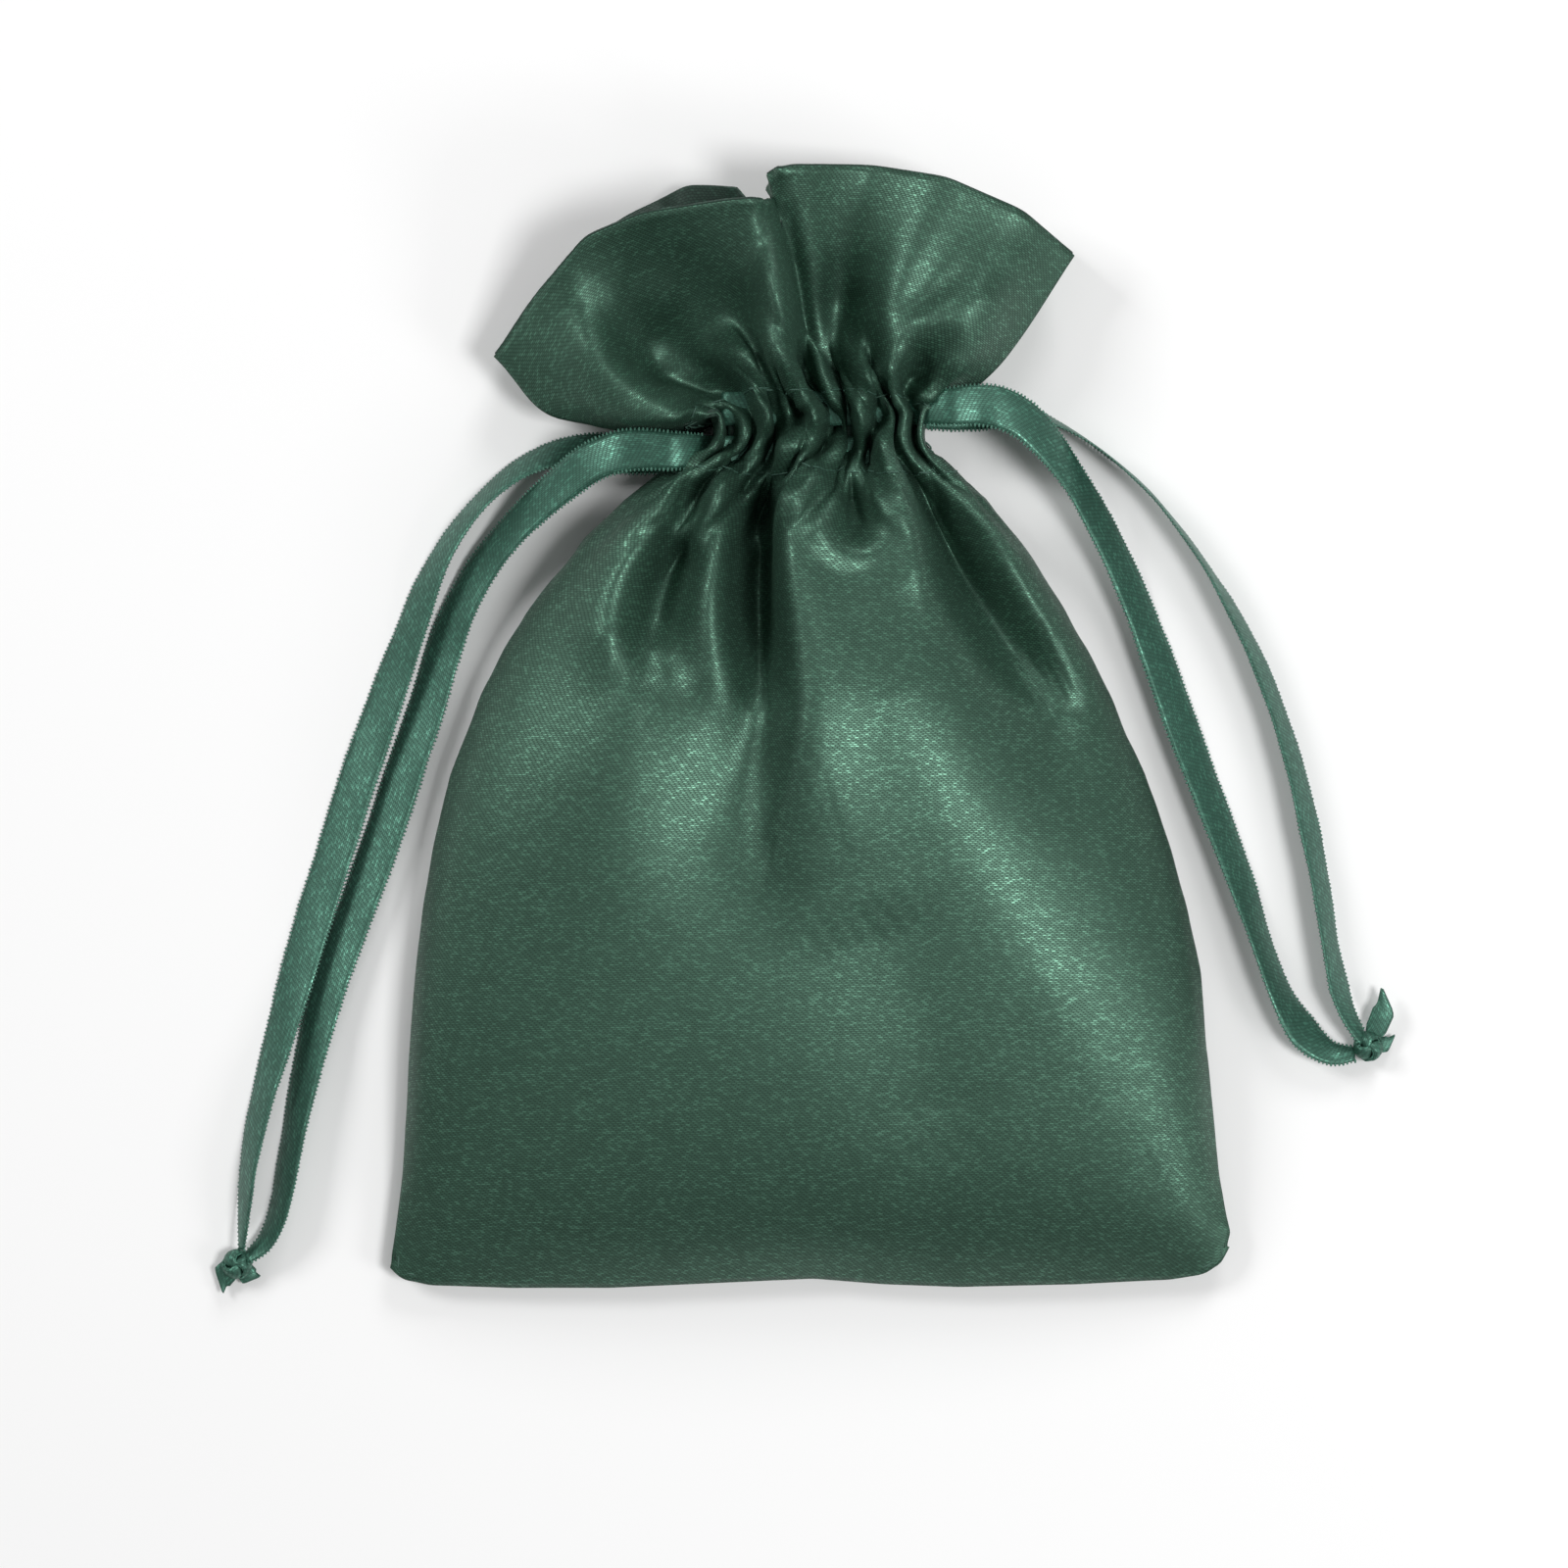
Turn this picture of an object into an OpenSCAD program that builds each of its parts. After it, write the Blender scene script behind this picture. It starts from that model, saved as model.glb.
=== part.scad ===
// Satin gift sack with two ribbon drawstrings, lying on its back with the neck drawn in.
// +X runs across the sack, +Y towards the mouth, +Z up from the surface that it lies on.

/* [Sack] */
// Width over the side seams at the bottom
sack_w = 126; // [116:1:134]
// Length from the bottom seam to the top of the ruffle
sack_l = 168; // [160:1:176]
// Height of the filled body above the surface
body_h = 28; // [22:1:32]
// Thickness of one layer of satin, as drawn
cloth_t = 0.6; // [0.5:0.05:0.7]

/* [Neck and ruffle] */
// Width of the gathered neck
neck_w = 33; // [31:0.5:36]
// Height of the gathered neck
neck_h = 14; // [13.5:0.5:15]
// Height of the ruffle above the ribbon casing
ruffle_l = 32; // [26:1:36]
// Lean of the ruffle's left edge from straight up
flare_left = 74; // [50:1:78]
// Lean of the ruffle's right edge from straight up
flare_right = 43; // [30:1:60]
// Height of the ruffle's waves
wave_h = 2.4; // [0:0.2:3]

/* [Ribbons] */
// Width of the drawstring ribbon
ribbon_w = 6.3; // [5.6:0.1:6.4]
// Thickness of the drawstring ribbon
ribbon_t = 0.3; // [0.2:0.05:0.4]
// Way that a drawstring can be pulled or let back from rest
pull_travel = 4; // [2:0.5:4.5]

/* [Seams] */
// Width of the turned-in seam allowances
allowance_w = 5; // [4:0.5:6]
// Thickness of a sewing thread, as drawn
thread_d = 0.3; // [0.24:0.02:0.36]

/* [Hidden] */

// Colours of the satin, its turned-in parts, the ribbon and the threads
satin_colour = [0.10, 0.30, 0.21];
lining_colour = [0.12, 0.27, 0.20];
ribbon_colour = [0.14, 0.38, 0.27];
thread_colour = [0.18, 0.42, 0.31];

// Stations along the sack. The casing is wide enough for two ribbons side by side.
ribbon_gap = 0.3;
casing_l = 2 * ribbon_w + 3 * ribbon_gap;
bottom_y = -sack_l / 2;
casing_y1 = sack_l / 2 - ruffle_l;
casing_y0 = casing_y1 - casing_l;
left_ribbon_y = casing_y0 + ribbon_gap + ribbon_w / 2;
right_ribbon_y = casing_y1 - ribbon_gap - ribbon_w / 2;

// Heights: the seam line at the bottom and at the neck, and the gap that the ribbons run in
seam_z = 4;
neck_z = neck_h / 2 + 1;
tunnel_h = 1.6;
ribbon_top_z = neck_z + neck_h / 2 - cloth_t - tunnel_h / 2;
ribbon_bottom_z = 2 * neck_z - ribbon_top_z;

// How round the body's sections are, and how square the neck's are
body_power = 2.4;
neck_power = 6;
ruffle_power = 2.8;

// How finely the cloth is drawn: columns across, rows along the body, rows up the ruffle
columns = 24;
body_rows = 11;
ruffle_rows = 6;
facing_s = 0.95;
lay_gap = 0.15;
seam_gap = 0.05;
slack = 0.02;

// A place along the sack is one number: 0 to 1 up the body, 1 to 2 up the casing, 2 to 3 up the ruffle.
function body_part(s) = min(s, 1);
function ruffle_part(s) = max(s - 2, 0);
function station_y(s) =
    s <= 1 ? bottom_y + s * (casing_y0 - bottom_y)
    : casing_y0 + min(s - 1, 1) * casing_l;
function half_width(s) =
    neck_w / 2 + (sack_w - neck_w) / 2 * sqrt(1 - pow(body_part(s), 2));
function power(s) =
    body_power + (neck_power - body_power) * pow(body_part(s), 8)
    + (ruffle_power - neck_power) * min(1, 1.6 * ruffle_part(s));

// Height of the side seam, and of the highest and lowest line of the cloth
function seam_height(s) =
    seam_z + (neck_z - seam_z) * body_part(s) + 3 * sin(180 * body_part(s)) - 2 * ruffle_part(s);
function front_height(s) =
    seam_z + cloth_t + (neck_z + neck_h / 2 - seam_z - cloth_t) * body_part(s)
    + (body_h - 10) * pow(sin(180 * pow(body_part(s), 0.8)), 0.75)
    + 4 * sin(110 * ruffle_part(s));
function back_height(s) =
    (seam_z - cloth_t) * (1 - body_part(s)) + body_part(s)
    - 6 * pow(sin(180 * body_part(s)), 0.75) - 2 * ruffle_part(s);

// The ruffle fans out from the neck and waves more towards its hem.
function lean(u) = (flare_right - flare_left) / 2 + (flare_right + flare_left) / 2 * u;
function wave(u, v) = wave_h * v * cos(450 * u + 60) * (1 - u * u);
function fan(x, u, s) = [
    x + ruffle_part(s) * ruffle_l * sin(lean(u)),
    station_y(s) + ruffle_part(s) * ruffle_l * cos(lean(u))
];

// A point of the cloth at place s and angle t, inset from its outer face.
// side is 1 for the front and -1 for the back.
function rounded(value, p) = sign(value) * pow(abs(value), 2 / p);
function cloth_point(s, t, side, inset) =
    let (
        across = rounded(cos(t), power(s)),
        up = pow(abs(sin(t)), 2 / power(s)),
        edge = seam_height(s) + side * seam_gap,
        crest = (side > 0 ? front_height(s) : back_height(s)) - side * inset,
        place = fan((half_width(s) - inset) * across, across, s),
        z = edge + (crest - edge) * up + side * wave(across, ruffle_part(s))
    )
    [place[0], place[1], side > 0 ? z : max(z, inset)];

// The same by column, where a fraction lies on the straight line between two columns
function column_point(s, column, side, inset) =
    let (
        left = floor(column),
        share = column - left,
        a = cloth_point(s, 180 - 180 * left / columns, side, inset),
        b = cloth_point(s, 180 - 180 * ceil(column) / columns, side, inset)
    )
    a + share * (b - a);

// Faces of a closed sheet from its outer and inner grids
function grid_faces(rows, cols) = let (n = (rows + 1) * (cols + 1), w = cols + 1) [
    for (r = [0 : rows - 1], c = [0 : cols - 1]) let (a = r * w + c)
        each [[a, a + w, a + w + 1], [a, a + w + 1, a + 1],
              [n + a, n + a + w + 1, n + a + w], [n + a, n + a + 1, n + a + w + 1]],
    for (c = [0 : cols - 1]) let (a = c, b = rows * w + c)
        each [[a, a + 1, n + a + 1], [a, n + a + 1, n + a],
              [b + 1, b, n + b], [b + 1, n + b, n + b + 1]],
    for (r = [0 : rows - 1]) let (a = r * w, b = r * w + cols)
        each [[n + a, n + a + w, a + w], [n + a, a + w, a],
              [b, b + w, n + b + w], [b, n + b + w, n + b]]
];
function turned(faces) = [for (f = faces) [f[2], f[1], f[0]]];

// A sheet of cloth over the given places, each with its own inset.
// edge is how far its side edges stay from the seam, in columns.
module cloth_sheet(places, insets, side, edge) {
    rows = len(places) - 1;
    across = [edge, each [for (c = [1 : columns - 1]) c], columns - edge];
    faces = grid_faces(rows, columns);
    polyhedron(
        points = [
            for (extra = [0, cloth_t], r = [0 : rows], c = across)
                column_point(places[r], c, side, insets[r] + extra)
        ],
        faces = side > 0 ? faces : turned(faces),
        convexity = 10
    );
}

// A tube of the given section swept along a path. Each path point may carry a tilt about the path.
function unit(v) = v / norm(v);
function place_of(p) = [p[0], p[1], p[2]];
function heading(path, i) =
    unit(place_of(path[min(i + 1, len(path) - 1)]) - place_of(path[max(i - 1, 0)]));
function ring(path, i, section) =
    let (
        along = heading(path, i),
        level = unit(cross([0, 0, 1], along)),
        upright = cross(along, level),
        tilt = len(path[i]) > 3 ? path[i][3] : 0,
        wide = cos(tilt) * level + sin(tilt) * upright,
        thick = cos(tilt) * upright - sin(tilt) * level
    )
    [for (q = section) place_of(path[i]) + q[0] * wide + q[1] * thick];
module swept(path, section) {
    n = len(section);
    last = (len(path) - 1) * n;
    polyhedron(
        points = [for (i = [0 : len(path) - 1]) each ring(path, i, section)],
        faces = [
            [for (j = [0 : n - 1]) j],
            for (i = [0 : len(path) - 2], j = [0 : n - 1])
                let (a = i * n + j, b = i * n + (j + 1) % n)
                each [[a, a + n, b + n], [a, b + n, b]],
            [for (j = [0 : n - 1]) last + n - 1 - j]
        ],
        convexity = 10
    );
}
function circle_section(d, n) = [for (j = [0 : n - 1]) d / 2 * [cos(360 * j / n), sin(360 * j / n)]];

// Places up one panel, and up the facing that is turned in from the hem to below the casing
panel_places = [
    for (i = [0 : body_rows]) 0.46 * (1 - cos(180 * i / body_rows)),
    facing_s, 0.97, 0.985, 1, 1.5, 2,
    for (i = [1 : ruffle_rows]) 2 + i / ruffle_rows
];
facing_places = [for (s = panel_places) if (s >= facing_s) s];
function facing_inset(s) = cloth_t + (s >= 1 && s <= 2 ? tunnel_h : lay_gap);

module panel(side) {
    color(satin_colour)
    difference() {
        cloth_sheet(panel_places, [for (s = panel_places) 0], side, 0);
        for (end = [-1, 1]) ribbon_slot(side, end);
    }
}

// The slot at each end of the casing, where the side seam is left open for the ribbons
module ribbon_slot(side, end) {
    slot_w = 5;
    slot_h = 3;
    slot_x = neck_w / 2 - 2.8;
    slot_z = side > 0 ? ribbon_top_z - 0.9 : ribbon_bottom_z + 0.9 - slot_h;
    translate([end > 0 ? slot_x : -slot_x - slot_w, casing_y0 + slack, slot_z])
        cube([slot_w, casing_l - 2 * slack, slot_h]);
}

module facing(side) {
    color(lining_colour)
    cloth_sheet(facing_places, [for (s = facing_places) facing_inset(s)], side, 0.25);
}

module front_panel() panel(1);
module back_panel() panel(-1);
module front_facing() facing(1);
module back_facing() facing(-1);

// The side seam runs up the body, stops at the casing and goes on up the ruffle.
body_seam = [for (s = panel_places) if (s > 0.03 && s < facing_s) s];
ruffle_seam = [for (s = panel_places) if (s > 2) s];
allowance_t = 0.7;
allowance_start = cloth_t + 0.3;

// A line beside the side seam, at the given distance inwards
function seam_edge(s, end) =
    let (place = fan(end * half_width(s), end, s))
    [place[0], place[1], seam_height(s)];
function beside_seam(places, end, inward) =
    let (edge = [for (s = places) seam_edge(s, end)])
    [for (i = [0 : len(edge) - 1])
        let (along = heading(edge, i))
        edge[i] + inward * end * unit([-along[1], along[0], 0])];

module seam_strip(places, end) {
    section = [
        [-allowance_w / 2, -allowance_t / 2], [allowance_w / 2, -allowance_t / 2],
        [allowance_w / 2, allowance_t / 2], [-allowance_w / 2, allowance_t / 2]
    ];
    swept(beside_seam(places, end, allowance_start + allowance_w / 2), section);
}
module side_seam_allowance(end) {
    color(lining_colour) {
        seam_strip(body_seam, end);
        seam_strip(ruffle_seam, end);
    }
}
module left_seam_allowance() side_seam_allowance(-1);
module right_seam_allowance() side_seam_allowance(1);

bottom_seam_y = bottom_y + cloth_t + 0.6;
bottom_seam_l = sack_w - 2 * allowance_w - 8;
module bottom_seam_allowance() {
    color(lining_colour)
    translate([-bottom_seam_l / 2, bottom_seam_y, seam_z - 0.25])
        cube([bottom_seam_l, allowance_w - 1, 0.5]);
}

// Threads. A row of lockstitch weaves through the layers; an overlock row wraps the cut edge.
stitch_l = 5;
thread_sides = 5;
function reach(path) = [
    for (i = 0, d = 0; i < len(path); d = d + norm(path[min(i + 1, len(path) - 1)] - path[i]), i = i + 1) d
];
function spaced(path, n) =
    let (at = reach(path), length = at[len(at) - 1])
    [for (k = [0 : n]) [
        for (axis = [0 : 2]) lookup(length * k / n, [for (i = [0 : len(at) - 1]) [at[i], path[i][axis]]])
    ]];
function stitch_count(path) = let (at = reach(path)) round(at[len(at) - 1] / stitch_l);
function woven(path, depth) =
    let (line = spaced(path, 4 * stitch_count(path)))
    [for (k = [0 : len(line) - 1]) line[k] + [0, 0, depth * sin(90 * k)]];
function wrapped(edge, inner, depth) =
    let (n = 4 * stitch_count(edge), out = spaced(edge, n), in = spaced(inner, n))
    [for (k = [0 : n])
        out[k] + (in[k] - out[k]) * (1 + cos(90 * k)) / 2 + [0, 0, depth * sin(90 * k)]];
module thread(path) {
    color(thread_colour)
    swept(path, circle_section(thread_d, thread_sides));
}

stitch_inset = 0.8;
side_stitch_depth = 0.5;
bottom_stitch_depth = 0.3;
module side_seam_stitch(end) {
    for (places = [body_seam, ruffle_seam])
        thread(woven(beside_seam(places, end, allowance_start + stitch_inset), side_stitch_depth));
}
module left_seam_stitch() side_seam_stitch(-1);
module right_seam_stitch() side_seam_stitch(1);
function along_bottom(inward) = [
    for (end = [-1, 1]) [end * bottom_seam_l / 2, bottom_seam_y + inward, seam_z]
];
module bottom_seam_stitch() thread(woven(along_bottom(stitch_inset), bottom_stitch_depth));

// The overlock wraps from just outside the cut edge to overlock_reach inside it.
overlock_reach = 1.8;
overlock_clear = 0.1;
side_overlock_depth = 0.55;
bottom_overlock_depth = 0.45;
module side_overlock_thread(end) {
    cut_edge = allowance_start + allowance_w + overlock_clear;
    for (places = [body_seam, ruffle_seam])
        thread(wrapped(
            beside_seam(places, end, cut_edge),
            beside_seam(places, end, cut_edge - overlock_reach),
            side_overlock_depth
        ));
}
module left_overlock_thread() side_overlock_thread(-1);
module right_overlock_thread() side_overlock_thread(1);
module bottom_overlock_thread() {
    cut_edge = allowance_w - 1 + overlock_clear;
    thread(wrapped(
        along_bottom(cut_edge), along_bottom(cut_edge - overlock_reach), bottom_overlock_depth
    ));
}

// The two rows that close the casing, each through the panel and its facing
casing_stitch_l = 3;
module casing_stitch(side, s) {
    spread = 56;
    n = round(2 * half_width(s) / casing_stitch_l);
    layers = 2 * cloth_t + lay_gap;
    thread([
        for (k = [0 : 4 * n])
            cloth_point(s, 90 + spread - 2 * spread * k / (4 * n), side, layers / 2)
            + [0, 0, (layers / 2 + 0.05) * sin(90 * k)]
    ]);
}
lower_row = 0.972;
upper_row = 2.08;
module front_upper_casing_stitch() casing_stitch(1, upper_row);
module front_lower_casing_stitch() casing_stitch(1, lower_row);
module back_upper_casing_stitch() casing_stitch(-1, upper_row);
module back_lower_casing_stitch() casing_stitch(-1, lower_row);

// Each drawstring goes in at its own side, round the far end of the neck and back again.
loop_end = neck_w / 2 + 0.2 + pull_travel;
strand_start = neck_w / 2 + 0.5 + pull_travel;
bend_r = 2;
module rounded_bar(l, h, r) {
    translate([0, -h / 2]) square([l - r, h]);
    translate([0, r - h / 2]) square([l, h - 2 * r]);
    for (up = [-1, 1]) translate([l - r, up * (h / 2 - r)]) circle(r = r, $fn = 48);
}
module ribbon_loop(end, y) {
    outer_h = ribbon_top_z - ribbon_bottom_z + ribbon_t;
    length = strand_start + loop_end + ribbon_t;
    color(ribbon_colour)
    translate([0, y + ribbon_w / 2, neck_z])
    rotate([90, 0, 0])
    linear_extrude(ribbon_w)
    mirror([end > 0 ? 1 : 0, 0])
    translate([-strand_start, 0])
    difference() {
        rounded_bar(length, outer_h, bend_r + ribbon_t);
        translate([-1, 0]) rounded_bar(length + 1 - ribbon_t, outer_h - 2 * ribbon_t, bend_r);
    }
}
module left_ribbon_loop() ribbon_loop(-1, left_ribbon_y);
module right_ribbon_loop() ribbon_loop(1, right_ribbon_y);

// Routes of the free strands, from the neck to the knot: x, y, height of the lower edge, tilt.
left_front_route = [
    [-24.5, 42.2, 13.1, 0], [-28.5, 41.9, 12.2, 8], [-33, 40.2, 10, 18], [-37.5, 37, 7, 28],
    [-42, 33.3, 4.2, 36], [-46.2, 29, 2.2, 39], [-50, 24, 1, 38], [-53.2, 18, 0.4, 35],
    [-55.6, 11.5, 0, 30], [-57.8, 4, 0, 26], [-60.6, -4, 0, 24], [-63.2, -12, 0, 24],
    [-66.2, -20.5, 0, 24], [-69.4, -29, 0, 25], [-72.6, -38, 0, 30], [-75, -47, 0, 38],
    [-77, -56, 0, 48], [-78.6, -64.5, 0, 56], [-80, -71.5, 0, 58], [-82, -76.3, 0.2, 50],
    [-85, -79, 0.6, 40]
];
left_back_route = [
    [-24.5, 42.2, 1.9, 0], [-29, 42.3, 1.2, 14], [-34, 42.6, 0.3, 34], [-39, 42, 0, 50],
    [-44.5, 39.4, 0, 60], [-49.6, 35, 0, 62], [-54, 29.4, 0, 60], [-57.4, 23, 0, 52],
    [-60, 16, 0, 42], [-62.8, 8.5, 0, 32], [-65.8, 0, 0, 26], [-68.6, -8, 0, 24],
    [-71.4, -17, 0, 24], [-74.6, -27, 0, 26], [-77.4, -36.5, 0, 32], [-80.2, -46.5, 0, 42],
    [-82.8, -56, 0, 54], [-84.5, -64.5, 0, 62], [-85.2, -71.5, 0, 64], [-85.6, -77.5, 0.2, 56]
];
right_front_route = [
    [24.5, 48.8, 13.1, 0], [28, 48.4, 12.4, -8], [31.8, 46.6, 10.6, -20], [35.6, 43, 8, -34],
    [39.2, 38.4, 5, -46], [42.6, 33, 2.6, -47], [46, 26.6, 1, -44], [49.2, 19.4, 0.2, -41],
    [52.2, 11.5, 0, -38], [55.4, 2.6, 0, -36], [58.6, -6, 0, -38], [62, -14.8, 0, -42],
    [65.4, -24, 0, -50], [68.4, -33, 0, -56], [71.2, -40, 0, -50], [74.4, -45, 0, -38],
    [78.2, -48, 0.2, -30], [82, -48.2, 0.6, -24]
];
right_back_route = [
    [24.5, 48.8, 1.9, 0], [28.6, 48.9, 0.9, -30], [33, 48.2, 0, -62], [38.4, 46, 0, -80],
    [44.6, 41.8, 0, -86], [50.4, 36.8, 0, -84], [55, 31.4, 0, -80], [59.2, 25.6, 0, -76],
    [63.2, 19, 0, -71], [66.8, 12, 0, -66], [69.8, 4.6, 0, -62], [72.6, -4, 0, -59],
    [74.8, -13, 0, -58], [76.8, -23, 0, -59], [78.4, -33, 0, -60], [80.4, -41, 0, -56],
    [83.2, -46.4, 0.4, -44]
];
strand_t = 0.5;
strand_section = [
    for (end = [-1, 1]) each [
        [-end * 0.32 * ribbon_w, end * strand_t / 2], [-end * 0.44 * ribbon_w, end * strand_t / 4],
        [-end * ribbon_w / 2, end * strand_t / 8], [-end * ribbon_w / 2, -end * strand_t / 8]
    ]
];
function laid(route) = [
    for (p = route)
        [p[0], p[1], p[2] + ribbon_w / 2 * abs(sin(p[3])) + strand_t * 0.6, p[3]]
];
module strand(route, end, y, z) {
    start = end * (strand_start + slack);
    color(ribbon_colour)
    swept(concat([[start, y, z, 0]], laid(route)), strand_section);
}
module left_front_strand() strand(left_front_route, -1, left_ribbon_y, ribbon_top_z);
module left_back_strand() strand(left_back_route, -1, left_ribbon_y, ribbon_bottom_z);
module right_front_strand() strand(right_front_route, 1, right_ribbon_y, ribbon_top_z);
module right_back_strand() strand(right_back_route, 1, right_ribbon_y, ribbon_bottom_z);

// An overhand knot in the two ribbon ends, with two short cut tails
knot_r = 1.3;
knot_band = 0.9;
module knot(place, turn) {
    color(ribbon_colour)
    translate([place[0], place[1], knot_r + knot_band])
    rotate([0, 0, turn]) {
        rotate([0, 90, 0])
            rotate_extrude($fn = 40) translate([knot_r, 0]) circle(r = knot_band, $fn = 24);
        rotate([0, 90, 0]) cylinder(h = 3.2, r = knot_r, center = true, $fn = 32);
        for (tail = [-1, 1])
            rotate([tail * 24, 0, tail * 22])
                translate([0.8, -1.2, -0.25]) cube([4.4, 2.4, 0.5]);
    }
}
module left_knot() knot([-86.4, -79.8], 212);
module right_knot() knot([84, -47], 66);

front_panel();
back_panel();
front_facing();
back_facing();
left_seam_allowance();
right_seam_allowance();
bottom_seam_allowance();
left_seam_stitch();
right_seam_stitch();
bottom_seam_stitch();
left_overlock_thread();
right_overlock_thread();
bottom_overlock_thread();
front_upper_casing_stitch();
front_lower_casing_stitch();
back_upper_casing_stitch();
back_lower_casing_stitch();
left_ribbon_loop();
left_front_strand();
left_back_strand();
left_knot();
right_ribbon_loop();
right_front_strand();
right_back_strand();
right_knot();
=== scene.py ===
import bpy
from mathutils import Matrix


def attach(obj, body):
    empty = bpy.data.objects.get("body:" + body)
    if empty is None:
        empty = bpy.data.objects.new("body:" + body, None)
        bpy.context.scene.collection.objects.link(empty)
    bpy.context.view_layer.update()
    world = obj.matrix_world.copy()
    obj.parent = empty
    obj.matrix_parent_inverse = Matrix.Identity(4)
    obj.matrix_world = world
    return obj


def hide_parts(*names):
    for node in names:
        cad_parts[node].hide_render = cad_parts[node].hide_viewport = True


bl_info = {
    "name": "Satin Drawstring Sack",
    "version": (1, 0, 0),
    "blender": (4, 5, 0),
    "location": "3D View > Sidebar > Satin Sack",
    "description": "Builds a small satin gift sack with two ribbon drawstrings",
    "category": "Object",
}

import math

import bmesh
import bpy
import numpy as np
from mathutils import Vector

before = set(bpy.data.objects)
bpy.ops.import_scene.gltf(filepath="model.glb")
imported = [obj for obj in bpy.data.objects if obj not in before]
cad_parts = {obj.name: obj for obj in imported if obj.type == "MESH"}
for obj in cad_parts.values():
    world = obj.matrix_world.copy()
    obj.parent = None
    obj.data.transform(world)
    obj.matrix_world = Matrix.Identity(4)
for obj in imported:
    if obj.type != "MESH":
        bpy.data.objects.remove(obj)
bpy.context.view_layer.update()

MM = 0.001
UV_PER_METRE = 10.0


# ---------------------------------------------------------------- settings


def distance(name, description, default, low, high):
    return bpy.props.FloatProperty(
        name=name, description=description, default=default, min=low, max=high, precision=5,
        subtype="DISTANCE", unit="LENGTH")


def colour(name, description, default):
    return bpy.props.FloatVectorProperty(
        name=name, description=description, subtype="COLOR", size=3, min=0.0, max=1.0, default=default)


class SACK_PG_cloth(bpy.types.PropertyGroup):
    thickness: distance("Cloth Thickness", "Thickness of one layer of satin", 0.00028, 0.0001, 0.002)
    relax_frames: bpy.props.IntProperty(
        name="Relaxing Steps", description="Steps of cloth simulation that settle the folds",
        default=8, min=0, max=60)
    bending: bpy.props.FloatProperty(
        name="Bending Stiffness", description="Stiffness of the satin against small creases",
        default=8.0, min=0.0, max=50.0)
    pressure: bpy.props.FloatProperty(
        name="Puff", description="Pressure that keeps the body of the sack lightly filled",
        default=4.0, min=0.0, max=20.0)


class SACK_PG_ribbon(bpy.types.PropertyGroup):
    width: distance("Ribbon Width", "Width of the drawstring ribbons", 0.0063, 0.003, 0.02)
    thickness: distance("Ribbon Thickness", "Thickness of the drawstring ribbons", 0.00026, 0.0001, 0.002)
    picot_spacing: distance(
        "Edge Loop Spacing", "Distance between the woven loops on a ribbon's edge", 0.00062, 0.0003, 0.005)
    picot_size: distance(
        "Edge Loop Size", "Length of one woven loop on a ribbon's edge", 0.00046, 0.0001, 0.003)


class SACK_PG_thread(bpy.types.PropertyGroup):
    stitch_length: distance("Stitch Length", "Length of one machine stitch", 0.0021, 0.0005, 0.01)
    stitch_spacing: distance(
        "Stitch Spacing", "Distance from one stitch to the next", 0.0026, 0.0008, 0.02)
    thickness: distance("Thread Thickness", "Thickness of the sewing thread", 0.00024, 0.00005, 0.002)
    overlock_spacing: distance(
        "Overlock Spacing", "Distance from one overlock loop to the next", 0.0013, 0.0005, 0.01)


class SACK_PG_finish(bpy.types.PropertyGroup):
    satin: colour("Satin", "Colour of the satin's right side", (0.078, 0.182, 0.126))
    lining: colour("Wrong Side", "Colour of the satin's dull inner side", (0.03, 0.072, 0.052))
    ribbon: colour("Ribbon", "Colour of the drawstring ribbons", (0.07, 0.2, 0.145))
    thread: colour("Thread", "Colour of the sewing and overlock thread", (0.05, 0.12, 0.09))
    floor: colour("Floor", "Colour of the plain floor", (0.9, 0.9, 0.9))


def settings(name):
    return getattr(bpy.context.scene, name)


# ---------------------------------------------------------------- numbers and curves


def unit(vectors):
    """The same vectors with a length of one."""
    return vectors / np.maximum(np.linalg.norm(vectors, axis=-1, keepdims=True), 1e-12)


def distances(points):
    """The way along a line to each of its points."""
    return np.r_[0, np.cumsum(np.linalg.norm(np.diff(points[:, :3], axis=0), axis=1))]


def directions(path):
    """Unit directions along a line of points."""
    return unit(np.gradient(path, axis=0))


def quads(ids):
    """The four-sided faces of a grid of indices."""
    return np.stack([ids[:-1, :-1], ids[:-1, 1:], ids[1:, 1:], ids[1:, :-1]], -1).reshape(-1, 4)


def spaced(points, count):
    """The same line with its points at even distances, and its length; further columns go along."""
    d = distances(points)
    q = np.linspace(0, d[-1], count)
    return np.stack([np.interp(q, d, points[:, k]) for k in range(points.shape[1])], 1), d[-1]


def rounded(points, count, soft):
    """A polyline with its corners softened, as evenly spaced points, and its length."""
    fine, length = spaced(np.array(points, float), 1500)
    spread = soft / (length / 1499)
    reach = int(3 * spread) + 1
    weight = np.exp(-0.5 * (np.arange(-reach, reach + 1) / spread) ** 2)
    weight /= weight.sum()
    ends = np.r_[2 * fine[0] - fine[reach:0:-1], fine, 2 * fine[-1] - fine[-2:-2 - reach:-1]]
    soft_line = np.stack([np.convolve(ends[:, k], weight, "valid") for k in range(fine.shape[1])], 1)
    return spaced(soft_line, count)


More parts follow.
